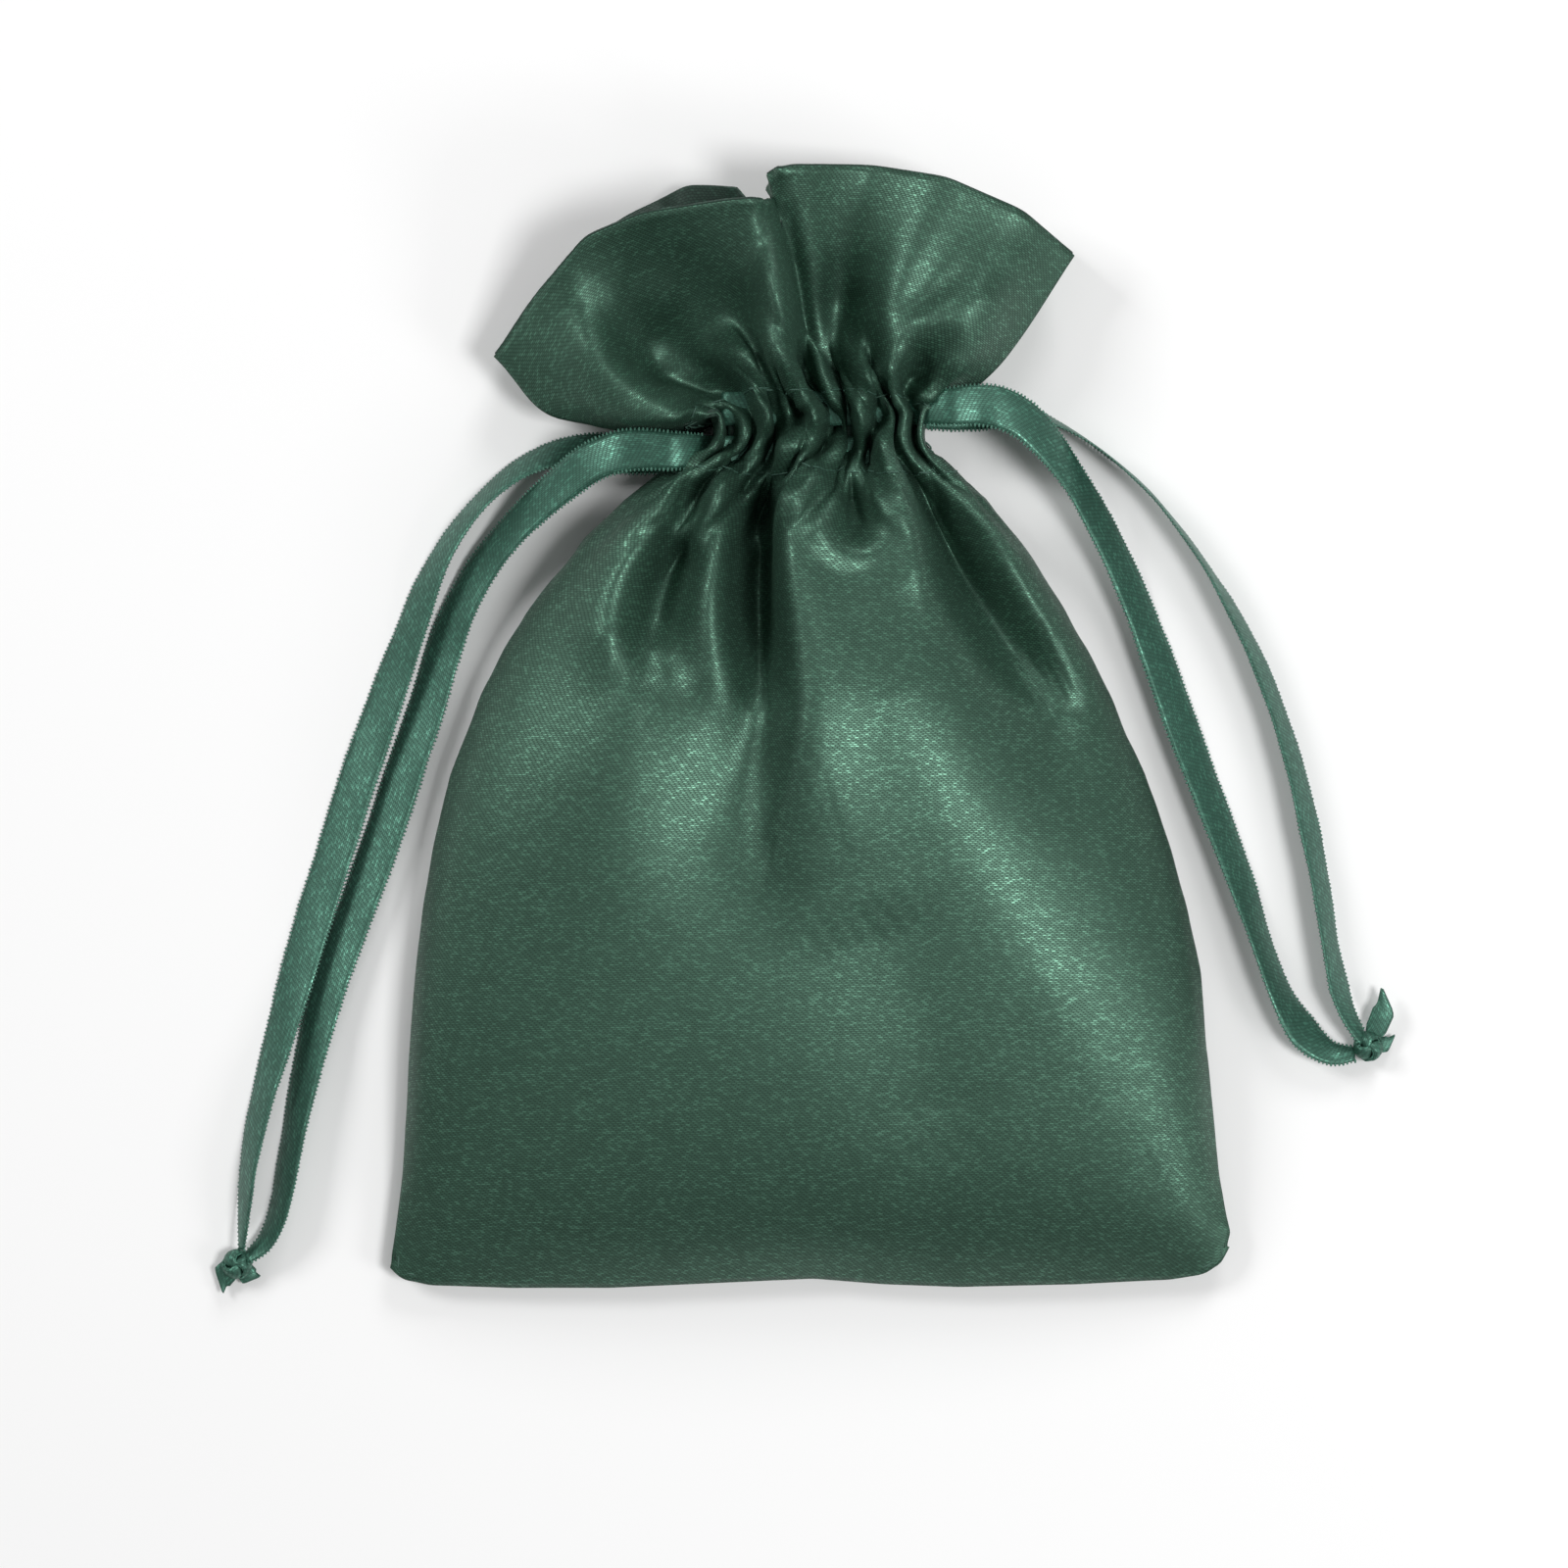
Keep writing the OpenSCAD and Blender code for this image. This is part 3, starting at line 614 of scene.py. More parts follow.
def shell(outer, inner, flip):
    """A closed skin round two grids of points: its points and faces."""
    rows, cols = outer.shape[:2]
    ids = np.arange(rows * cols).reshape(rows, cols)
    back = ids + rows * cols
    rim = np.r_[ids[0, :-1], ids[:-1, -1], ids[-1, :0:-1], ids[:0:-1, 0]]
    nxt = np.roll(rim, -1)
    walls = np.stack([nxt, rim, rim + rows * cols, nxt + rows * cols], -1)
    faces = np.r_[quads(ids), quads(back)[:, ::-1], walls]
    if flip:
        faces = faces[:, ::-1]
    return np.r_[outer.reshape(-1, 3), inner.reshape(-1, 3)], faces


def cut_uv(rows, cols, row_from=0.0):
    """The cut cloth's flat coordinates, for a grid and the same grid behind it."""
    v, u = np.meshgrid(np.linspace(row_from, PANEL_L, rows), np.linspace(0, PANEL_W, cols), indexing="ij")
    return np.tile(np.stack([u, v], -1).reshape(-1, 2), (2, 1)) * MM * UV_PER_METRE


# ---------------------------------------------------------------- nodes and materials


def plug(tree, node, inputs):
    """Sets a node's inputs to values, or links them to sockets."""
    for label, value in inputs.items():
        if isinstance(value, bpy.types.NodeSocket):
            tree.links.new(value, node.inputs[label])
        else:
            node.inputs[label].default_value = value


def add(tree, kind, inputs=None, **options):
    node = tree.nodes.new(kind)
    for key, value in options.items():
        setattr(node, key, value)
    plug(tree, node, inputs or {})
    return node


def math_node(tree, operation, a, b=None, clamp=False):
    inputs = {0: a} if b is None else {0: a, 1: b}
    return add(tree, "ShaderNodeMath", inputs, operation=operation, use_clamp=clamp).outputs[0]


def group(name, kind, inputs, outputs):
    """A new node group with its sockets: inputs as name, type and first value."""
    tree = bpy.data.node_groups.new(name, kind)
    for label, socket_type, value in inputs:
        socket = tree.interface.new_socket(label, in_out="INPUT", socket_type="NodeSocket" + socket_type)
        if value is not None:
            socket.default_value = value
    for label, socket_type in outputs:
        tree.interface.new_socket(label, in_out="OUTPUT", socket_type="NodeSocket" + socket_type)
    return tree, tree.nodes.new("NodeGroupInput").outputs


def weave_group():
    """Satin weave: short floats in staggered rows that step along a diagonal, uneven and glinting, with
    painted shade in the hollows between floats.
    """
    if "Satin Weave" in bpy.data.node_groups:
        return bpy.data.node_groups["Satin Weave"]
    tree, given = group(
        "Satin Weave", "ShaderNodeTree",
        [("Vector", "Vector", None), ("Color", "Color", (0.02, 0.08, 0.05, 1)),
         ("Floats per Unit", "Float", 110.0), ("Rows per Unit", "Float", 320.0), ("Step", "Float", 0.37),
         ("Depth", "Float", 0.6), ("Glint", "Float", 0.8), ("Cloudiness", "Float", 0.2),
         ("Roughness", "Float", 0.4)],
        [("Color", "Color"), ("Roughness", "Float"), ("Height", "Float")])

    def m(operation, a, b=None, clamp=False):
        return math_node(tree, operation, a, b, clamp)

    def bow(q, sharp):
        return m("POWER", m("SINE", m("MULTIPLY", m("FRACT", q), math.pi)), sharp)

    place = add(tree, "ShaderNodeSeparateXYZ", {0: given["Vector"]}).outputs
    clouds = add(tree, "ShaderNodeTexNoise", {"Scale": 22.0, "Detail": 4.0, "Vector": given["Vector"]},
                 noise_dimensions="2D").outputs["Fac"]
    uneven = m("SUBTRACT", clouds, 0.5)
    v = m("ADD", m("MULTIPLY", place[1], given["Rows per Unit"]), m("MULTIPLY", uneven, 1.6))
    row = m("FLOOR", v)
    jitter = add(tree, "ShaderNodeTexWhiteNoise", {"W": row}, noise_dimensions="1D").outputs["Value"]
    shift = m("ADD", m("MULTIPLY", row, given["Step"]), m("MULTIPLY", jitter, 0.1))
    u = m("ADD", m("MULTIPLY", place[0], given["Floats per Unit"]), shift)
    height = m("MULTIPLY", bow(v, 0.7), bow(u, 0.45))
    hollow = m("SUBTRACT", 1.0, height)
    cell = add(tree, "ShaderNodeCombineXYZ", {0: m("FLOOR", u), 1: row}).outputs[0]
    chance = add(tree, "ShaderNodeTexWhiteNoise", {"Vector": cell}, noise_dimensions="2D").outputs["Value"]
    glint = m("MULTIPLY", m("POWER", chance, 4.0), given["Glint"])
    # painted shade: the weave's colour is darkened in its hollows between floats
    painted_hollow_shade = m("SUBTRACT", 1.0, m("MULTIPLY", hollow, given["Depth"]))
    cloud = m("ADD", 1.0, m("MULTIPLY", uneven, given["Cloudiness"]))
    level = m("MULTIPLY", m("MULTIPLY", painted_hollow_shade, cloud), m("ADD", 0.82, glint))
    tint = add(tree, "ShaderNodeVectorMath", {0: given["Color"], "Scale": level}, operation="SCALE")
    rough = m("ADD", given["Roughness"], m("MULTIPLY", hollow, 0.18))
    add(tree, "NodeGroupOutput", {
        "Color": tint.outputs[0],
        "Roughness": m("SUBTRACT", rough, m("MULTIPLY", glint, 0.12), clamp=True),
        "Height": m("MULTIPLY", height, m("ADD", 0.7, m("MULTIPLY", chance, 0.6)))})
    return tree


def new_material(name):
    material = bpy.data.materials.new(name)
    material.use_nodes = True
    return material, material.node_tree, material.node_tree.nodes["Principled BSDF"]


def cloth_material(name, color, metallic, roughness, floats, rows, step, depth, glint, specular,
                   anisotropy=0.0, across=False):
    """Woven cloth that follows the piece's own UV map."""
    material, tree, surface = new_material(name)
    vector = add(tree, "ShaderNodeUVMap", uv_map="Cloth").outputs[0]
    if across:
        turned = add(tree, "ShaderNodeMapping", {"Vector": vector, "Rotation": (0, 0, math.pi / 2)})
        vector = turned.outputs[0]
    weave = add(tree, "ShaderNodeGroup", node_tree=weave_group())
    # the depth value sets how much painted shade darkens the weave's hollows
    plug(tree, weave, {
        "Vector": vector, "Color": (*color, 1), "Floats per Unit": floats, "Rows per Unit": rows,
        "Step": step, "Depth": depth, "Glint": glint, "Roughness": roughness})
    bump = add(tree, "ShaderNodeBump", {
        "Strength": 0.35, "Distance": WEAVE_RELIEF, "Height": weave.outputs["Height"]})
    plug(tree, surface, {
        "Base Color": weave.outputs["Color"], "Roughness": weave.outputs["Roughness"],
        "Normal": bump.outputs[0], "Metallic": metallic, "Specular IOR Level": specular})
    if anisotropy:
        tangent = add(tree, "ShaderNodeTangent", direction_type="UV_MAP", uv_map="Cloth")
        plug(tree, surface, {"Anisotropic": anisotropy, "Tangent": tangent.outputs[0]})
    return material


def thread_material(name, color):
    """Twisted thread, with painted shade in the grooves of its twist and a painted highlight on its
    crests.
    """
    material, tree, surface = new_material(name)
    place = add(tree, "ShaderNodeTexCoord").outputs["Object"]
    twist = add(tree, "ShaderNodeTexWave", {"Scale": 2600, "Distortion": 2, "Vector": place},
                bands_direction="DIAGONAL").outputs["Fac"]
    ramp = add(tree, "ShaderNodeValToRGB", {0: twist})
    # painted shade and highlight: darker colour in the twist's grooves, lighter on its crests
    ramp.color_ramp.elements[0].color = (*[c * 0.6 for c in color], 1)
    ramp.color_ramp.elements[1].color = (*[c * 1.3 for c in color], 1)
    bump = add(tree, "ShaderNodeBump", {"Distance": THREAD_RELIEF, "Strength": 0.6, "Height": twist})
    plug(tree, surface, {"Base Color": ramp.outputs[0], "Normal": bump.outputs[0], "Roughness": 0.5})
    return material


# each weave: name, metallic, roughness, floats and rows per unit of UV, step, share of painted shade in
# the hollows, glint, specular, anisotropy, and whether it runs across the piece
WEAVES = {
    "satin": ("glossy satin", 0.6, 0.42, 135, 370, 0.37, 0.8, 0.7, 0.5, 0.35),
    "lining": ("dull satin", 0.1, 0.5, 125, 340, 0.37, 0.6, 0.5, 0.4),
    "ribbon": ("ribbon satin", 0.55, 0.38, 150, 340, 0.25, 0.65, 0.7, 0.5, 0.3, True),
}
WEAVE_RELIEF, THREAD_RELIEF = 0.00002, 0.00006
finishes = {}


def finish(name):
    """The named finish, made when it is first asked for."""
    if name not in finishes:
        colors = settings("sack_finish")
        if name in WEAVES:
            label, *values = WEAVES[name]
            finishes[name] = cloth_material(label, getattr(colors, name), *values)
        elif name == "ribbon_edge":
            finishes[name] = thread_material("ribbon edge", [c * 0.9 for c in colors.ribbon])
        else:
            finishes[name] = thread_material("sewing thread", colors.thread)
    return finishes[name]


# ---------------------------------------------------------------- geometry node trees for what repeats


def thread_tree(name, values, shape):
    """Puts the shape, made of thread, on points, turned by the points' own directions."""
    if name in bpy.data.node_groups:
        return bpy.data.node_groups[name]
    tree, given = group(
        name, "GeometryNodeTree",
        [("Geometry", "Geometry", None), *((label, "Float", value) for label, value in values.items()),
         ("Material", "Material", None)],
        [("Geometry", "Geometry")])
    inputs = {"Points": given["Geometry"]}
    thread, size = shape(tree, given)
    smooth = add(tree, "GeometryNodeSetShadeSmooth", {"Geometry": thread})
    inputs["Instance"] = smooth.outputs[0]
    if size is not None:
        inputs["Scale"] = size
    turn = {}
    for key, axis, pivot in (("along", "X", "AUTO"), ("up", "Z", "X")):
        read = add(tree, "GeometryNodeInputNamedAttribute", {"Name": key}, data_type="FLOAT_VECTOR")
        align = add(tree, "FunctionNodeAlignRotationToVector",
                    {"Vector": read.outputs["Attribute"], **turn}, axis=axis, pivot_axis=pivot)
        turn = {"Rotation": align.outputs[0]}
    place = add(tree, "GeometryNodeInstanceOnPoints", {**inputs, **turn})
    real = add(tree, "GeometryNodeRealizeInstances", {0: place.outputs[0]})
    paint = add(tree, "GeometryNodeSetMaterial",
                {"Geometry": real.outputs[0], "Material": given["Material"]})
    add(tree, "NodeGroupOutput", {0: paint.outputs[0]})
    return tree


def bead(tree, given):
    """A small rounded length of thread, and its size, which varies from point to point."""
    ball = add(tree, "GeometryNodeMeshUVSphere", {"Segments": 8, "Rings": 6, "Radius": 0.5})
    lying = add(tree, "GeometryNodeTransform",
                {"Geometry": ball.outputs["Mesh"], "Rotation": (0, math.pi / 2, 0)})
    least = math_node(tree, "SUBTRACT", 1.0, given["Unevenness"])
    most = math_node(tree, "ADD", 1.0, given["Unevenness"])
    vary = add(tree, "FunctionNodeRandomValue", {"Seed": 7}, data_type="FLOAT")
    low, high = [socket for socket in vary.inputs if socket.type == "VALUE" and socket.enabled][:2]
    tree.links.new(least, low)
    tree.links.new(most, high)
    share = [socket for socket in vary.outputs if socket.type == "VALUE" and socket.enabled][0]
    size = add(tree, "ShaderNodeCombineXYZ", {
        k: math_node(tree, "MULTIPLY", given[label], share)
        for k, label in enumerate(("Length", "Thickness", "Thickness"))})
    return lying.outputs[0], size.outputs[0]


def ring(tree, given):
    """An overlock loop: a slim ring of thread that wraps the cut edge, in its full size."""
    circle = add(tree, "GeometryNodeCurvePrimitiveCircle", {"Resolution": 12, "Radius": 0.5})
    size = add(tree, "ShaderNodeCombineXYZ", {0: given["Length"], 1: given["Height"], 2: 1.0})
    oval = add(tree, "GeometryNodeTransform", {"Geometry": circle.outputs[0], "Scale": size.outputs[0]})
    standing = add(tree, "GeometryNodeTransform",
                   {"Geometry": oval.outputs[0], "Rotation": (math.pi / 2, 0, 0.35)})
    wire = add(tree, "GeometryNodeCurvePrimitiveCircle",
               {"Resolution": 5, "Radius": math_node(tree, "MULTIPLY", given["Thickness"], 0.5)})
    tube = add(tree, "GeometryNodeCurveToMesh",
               {"Curve": standing.outputs[0], "Profile Curve": wire.outputs[0]})
    return tube.outputs[0], None


def bead_tree():
    return thread_tree("Thread Beads", {"Length": 0.002, "Thickness": 0.0003, "Unevenness": 0.1}, bead)


def loop_tree():
    return thread_tree("Thread Loops", {"Length": 0.002, "Height": 0.0008, "Thickness": 0.00024}, ring)


def repeated(name, points, along, up, tree, values, material):
    """Runs a node tree on points and keeps the plain mesh that it makes."""
    seed = new_piece(name + "_points", points, [], material, attributes={"along": along, "up": up})
    run = seed.modifiers.new("repeat", "NODES")
    run.node_group = tree
    sockets = {s.name: s.identifier for s in tree.interface.items_tree if s.in_out == "INPUT"}
    for label, value in values.items():
        run[sockets[label]] = value
    run[sockets["Material"]] = material
    bpy.context.view_layer.update()
    made = seed.evaluated_get(bpy.context.evaluated_depsgraph_get())
    mesh = bpy.data.meshes.new_from_object(made)
    mesh.name = name
    for key in ("along", "up"):
        if key in mesh.attributes:
            mesh.attributes.remove(mesh.attributes[key])
    if not mesh.materials:
        mesh.materials.append(material)
    data = seed.data
    seed.modifiers.remove(run)
    bpy.data.objects.remove(seed)
    bpy.data.meshes.remove(data)
    return new_object(name, mesh)


def threaded(name, spots, tree, values, node):
    """A row of thread pieces on the sack; each spot holds its place, way along and way up."""
    spots, ways, ups = spots[:, :3] * MM, spots[:, 3:6], spots[:, 6:]
    belongs(repeated(name, spots, ways, ups, tree, values, finish("thread")), "sack", "thread", node)


def stitch_values():
    thread = settings("sack_thread")
    return {"Length": thread.stitch_length, "Thickness": thread.thickness, "Unevenness": 0.06}


def belongs(piece, body, slot, *nodes):
    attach(piece, body)
    if nodes:
        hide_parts(*nodes)
    return piece


# ---------------------------------------------------------------- the ribbons' routes, in millimetres

# each point: x, y, height of the ribbon's lower edge, tilt in degrees
ROUTES = {
    "left_front": [
        (-24.5, 42.2, 13.1, 0), (-28.5, 41.9, 12.2, 8), (-33, 40.2, 10, 18), (-37.5, 37, 7, 28),
        (-42, 33.3, 4.2, 36), (-46.2, 29, 2.2, 39), (-50, 24, 1, 38), (-53.2, 18, 0.4, 35),
        (-55.6, 11.5, 0, 30), (-57.8, 4, 0, 26), (-60.6, -4, 0, 24), (-63.2, -12, 0, 24),
        (-66.2, -20.5, 0, 24), (-69.4, -29, 0, 25), (-72.6, -38, 0, 30), (-75, -47, 0, 38),
        (-77, -56, 0, 48), (-78.6, -64.5, 0, 56), (-80, -71.5, 0, 58), (-82, -76.3, 0.2, 50),
        (-85, -79, 0.6, 40)],
    "left_back": [
        (-24.5, 42.2, 1.9, 0), (-29, 42.3, 1.2, 14), (-34, 42.6, 0.3, 34), (-39, 42, 0, 50),
        (-44.5, 39.4, 0, 60), (-49.6, 35, 0, 62), (-54, 29.4, 0, 60), (-57.4, 23, 0, 52),
        (-60, 16, 0, 42), (-62.8, 8.5, 0, 32), (-65.8, 0, 0, 26), (-68.6, -8, 0, 24),
        (-71.4, -17, 0, 24), (-74.6, -27, 0, 26), (-77.4, -36.5, 0, 32), (-80.2, -46.5, 0, 42),
        (-82.8, -56, 0, 54), (-84.5, -64.5, 0, 62), (-85.2, -71.5, 0, 64), (-85.6, -77.5, 0.2, 56)],
    "right_front": [
        (24.5, 48.8, 13.1, 0), (28, 48.4, 12.4, -8), (31.8, 46.6, 10.6, -20), (35.6, 43, 8, -34),
        (39.2, 38.4, 5, -46), (42.6, 33, 2.6, -47), (46, 26.6, 1, -44), (49.2, 19.4, 0.2, -41),
        (52.2, 11.5, 0, -38), (55.4, 2.6, 0, -36), (58.6, -6, 0, -38), (62, -14.8, 0, -42),
        (65.4, -24, 0, -50), (68.4, -33, 0, -56), (71.2, -40, 0, -50), (74.4, -45, 0, -38),
        (78.2, -48, 0.2, -30), (82, -48.2, 0.6, -24)],
    "right_back": [
        (24.5, 48.8, 1.9, 0), (28.6, 48.9, 0.9, -30), (33, 48.2, 0, -62), (38.4, 46, 0, -80),
        (44.6, 41.8, 0, -86), (50.4, 36.8, 0, -84), (55, 31.4, 0, -80), (59.2, 25.6, 0, -76),
        (63.2, 19, 0, -71), (66.8, 12, 0, -66), (69.8, 4.6, 0, -62), (72.6, -4, 0, -59),
        (74.8, -13, 0, -58), (76.8, -23, 0, -59), (78.4, -33, 0, -60), (80.4, -41, 0, -56),
        (83.2, -46.4, 0.4, -44)],
}
CASING_Y = {"left": 41.95, "right": 48.55}
EXIT_X = 21.02
TOP_RUN_Z, UNDER_RUN_Z = 13.6, 2.4
SOLID_T = 0.5
KNOTS = {"left": (-86.4, -79.8, 212.0), "right": (84.0, -47.0, 66.0)}
# each tail: angle from the knot's own direction, length, width, rise, sideways lean
TAILS = {"left": [(6, 3.6, 3.6, -0.6, 0.5), (104, 3.0, 3.0, -1.0, -0.4)],
         "right": [(0, 8.0, 3.4, 0.8, 0.3), (-62, 3.4, 2.4, -0.8, 0.3)]}


def route_points(name):
    """The middle line of a free strand and its tilt, as dense smooth points in metres."""
    side, layer = name.split("_")
    sign = -1 if side == "left" else 1
    y, z = CASING_Y[side], TOP_RUN_Z if layer == "front" else UNDER_RUN_Z
    inner = [(sign * x, y, z + (NECK_MIDDLE - z) * sink, 0) for x, sink in ((16.2, 0.42), (18.6, 0.14))]
    keys = np.array(inner + [(sign * EXIT_X, y, z, 0)] + ROUTES[name], float)
    width = settings("sack_ribbon").width / MM
    keys[:, 2] += width / 2 * np.abs(np.sin(np.radians(keys[:, 3]))) + SOLID_T * 0.6
    steps = distances(keys)
    dense = hermite_rows(steps, keys[:, None, :], np.linspace(0, steps[-1], 240))[:, 0, :]
    dense, length = spaced(dense, int(steps[-1] / 0.7))
    return dense[:, :3] * MM, np.radians(dense[:, 3]), length * MM


def ribbon_frames(path, tilt):
    along = directions(path)
    level = unit(np.cross(np.array([0.0, 0.0, 1.0]), along))
    upright = np.cross(along, level)
    wide = level * np.cos(tilt)[:, None] + upright * np.sin(tilt)[:, None]
    return wide, np.cross(along, wide)


def band(path, wide, out, width, thickness, cup=0.0, ripple=0.0):
    """A flat ribbon along a path: points, faces and the uv of its weave, closed all round."""
    n, across = len(path), 9
    s = np.linspace(-1, 1, across)
    run = distances(path)
    wave = ripple * (np.sin(run / 0.0047) * 0.6 + np.sin(run / 0.0019 + 1.3) * 0.4)
    width = np.broadcast_to(np.asarray(width, float), (n,))
    rows = []
    for face in (1, -1):
        edge = thickness / 2 * (1 - 0.45 * np.abs(s) ** 6)
        lift = (cup * (1 - s**2))[None, :] * np.ones((n, 1)) + wave[:, None] * s[None, :]
        middle = path[:, None, :] + wide[:, None, :] * (s[None, :, None] * width[:, None, None] / 2)
        middle = middle + out[:, None, :] * lift[..., None]
        rows.append(middle + out[:, None, :] * (face * edge)[None, :, None])
    points, faces = shell(rows[0], rows[1], False)
    uv = np.stack([(s[None, :] + 1) / 2 * width[:, None], run[:, None] * np.ones((1, across))], -1)
    uv = np.tile(uv.reshape(-1, 2), (2, 1)) * UV_PER_METRE
    edges = [(rows[0][:, k] + rows[1][:, k]) / 2 for k in (0, -1)]
    return points, faces, uv, edges


def ribbon_piece(name, path, tilt, cup, ripple):
    size = settings("sack_ribbon")
    wide, out = ribbon_frames(path, tilt)
    run = distances(path)
    end = run[-1]
    gathered = np.interp(run, [0, 0.012, end - 0.009, end - 0.002, end], [0.82, 1, 1, 0.5, 0.34])
    width = size.width * 0.97 * gathered
    points, faces, uv, edges = band(path, wide, out, width, size.thickness, cup, ripple)
    points[:, 2] = np.maximum(points[:, 2], 0.00005)
    piece = new_piece(name, points, faces, finish("ribbon"), uv)
    spots, ways, ups = [], [], []
    for edge, sign in zip(edges, (-1, 1)):
        count = int(np.linalg.norm(np.diff(edge, axis=0), axis=1).sum() / size.picot_spacing)
        both, _ = spaced(np.c_[edge, wide * sign, out], count)
        spots.append(both[:, :3] + both[:, 3:6] * size.picot_size * 0.12)
        ways.append(both[:, 3:6])
        ups.append(both[:, 6:])
    spots = np.concatenate(spots)
    spots[:, 2] = np.maximum(spots[:, 2], 0.0002)
    loops = repeated(
        name + "_edge_loops", spots, np.concatenate(ways), np.concatenate(ups), bead_tree(),
        {"Length": size.picot_size * 1.3, "Thickness": size.picot_size * 0.75, "Unevenness": 0.2},
        finish("ribbon_edge"))
    return piece, loops


def casing_run(side):
    """The middle line of the ribbon inside its casing: in at the top, round a fold, and out below."""
    sign = -1 if side == "left" else 1
    y = CASING_Y[side]
    keys = [(sign * 17.4, 11.3), (sign * 16.2, 10.6), (sign * 14.6, 9.7),
            (sign * 11, 9.15), (0, 9.0), (-sign * 10, 9.0), (-sign * 12.6, 8.9), (-sign * 13.6, 8.2),
            (-sign * 12.6, 7.5), (-sign * 10, 7.4), (0, 7.3), (sign * 11, 7.2), (sign * 14.6, 6.4),
            (sign * 16.2, 5.6), (sign * 17.4, 4.9)]
    line, _ = rounded([(x, y, z) for x, z in keys], 130, 0.35)
    return line * MM


def knot_bundle(side):
    """An overhand knot of the two ribbon ends, pulled tight; its two slanted tails are made apart from it.
    """
    x, y, turn = KNOTS[side]
    parts = []
    a = np.linspace(0, 2 * math.pi, 90)
    for shift, scale in ((0.0, 1.12), (2.1, 0.95)):
        ring = np.stack([(1.05 + 0.55 * np.cos(3 * (a + shift))) * np.cos(2 * a + shift),
                         (1.05 + 0.55 * np.cos(3 * (a + shift))) * np.sin(2 * a + shift),
                         0.85 * np.sin(3 * (a + shift))], 1) * scale
        ring[:, 2] += 2.0
        along = directions(ring)
        centre = ring - np.array([0, 0, 2.0])
        out = unit(centre - (centre * along).sum(1, keepdims=True) * along)
        wide = np.cross(out, along)
        parts.append(band(ring, wide, out, 2.5, 0.4, 0.3, 0.12)[:3])
    return parts, np.array([x, y]), math.radians(turn)


def tail(start, direction, length, lift, width, lean):
    """A short free end, cut on the slant."""
    n = 16
    s = np.linspace(0, 1, n)
    side = np.array([-direction[1], direction[0], 0.0])
    path = start[None, :] + direction[None, :] * (s[:, None] * length)
    path[:, 2] += lift * s * (2 - s)
    path += side[None, :] * (lean * s[:, None] ** 2)
    along = directions(path)
    wide = np.broadcast_to(side, along.shape)
    out = np.cross(along, wide)
    taper = width * np.interp(s, [0, 0.25, 0.6, 1.0], [0.5, 0.95, 1.0, 0.14])
    shifted = path + side[None, :] * (width * 0.42 * np.clip((s[:, None] - 0.7) / 0.3, 0, 1))
    return band(shifted, wide, out, taper, 0.3, 0.15, 0.0)[:3]


def merged(parts):
    points, faces, uvs, base = [], [], [], 0
    for p, f, u in parts:
        points.append(p)
        faces += [tuple(int(i) + base for i in face) for face in f]
        uvs.append(u)
        base += len(p)
    return np.concatenate(points), faces, np.concatenate(uvs)


# ---------------------------------------------------------------- operators


FLOOR_REACH = 3.0
ROOM_LIGHT = 0.25
# name, place, size and power of each soft light, all aimed at the origin
LIGHTS = [("high_light", (0.50, -0.12, 1.05), 0.30, 6.5), ("left_light", (-0.75, 0.45, 0.70), 0.35, 4.5),
          ("back_light", (0.25, 0.95, 0.60), 0.35, 3.5), ("right_light", (0.80, -0.35, 0.55), 0.30, 1.8)]
VIEW_MIDDLE, VIEW_WIDTH = Vector((-0.004, -0.0075, 0.008)), 0.2344


class SACK_OT_stage(bpy.types.Operator):
    """Add the pale floor, the soft lights and the camera above"""
    bl_idname = "sack.stage"
    bl_label = "Floor, Lights and Camera"

    def execute(self, context):
        scene = context.scene
        scene.view_settings.view_transform = "Standard"
        paint, tree, surface = new_material("floor")
        plug(tree, surface, {"Base Color": (*settings("sack_finish").floor, 1), "Roughness": 0.9,
                             "Specular IOR Level": 0.1})
        corners = [(x * FLOOR_REACH, y * FLOOR_REACH, 0) for x, y in ((-1, -1), (1, -1), (1, 1), (-1, 1))]
        new_piece("floor", corners, [(0, 1, 2, 3)], paint)
        for name, place, size, power in LIGHTS:
            lamp = bpy.data.lights.new(name, "AREA")
            lamp.size, lamp.energy = size, power
            holder = new_object(name, lamp)
            holder.location = place
            holder.rotation_euler = (-Vector(place)).to_track_quat("-Z", "Y").to_euler()
        world = bpy.data.worlds.new("room")
        world.use_nodes = True
        plug(world.node_tree, world.node_tree.nodes["Background"],
             {"Color": (1, 1, 1, 1), "Strength": ROOM_LIGHT})
        scene.world = world
        lens = bpy.data.cameras.new("camera")
        lens.lens, lens.sensor_width = 120, 36
        camera = new_object("camera", lens)
        camera.location = VIEW_MIDDLE + Vector((0, 0, VIEW_WIDTH * lens.lens / lens.sensor_width))
        scene.camera = camera
        return {"FINISHED"}


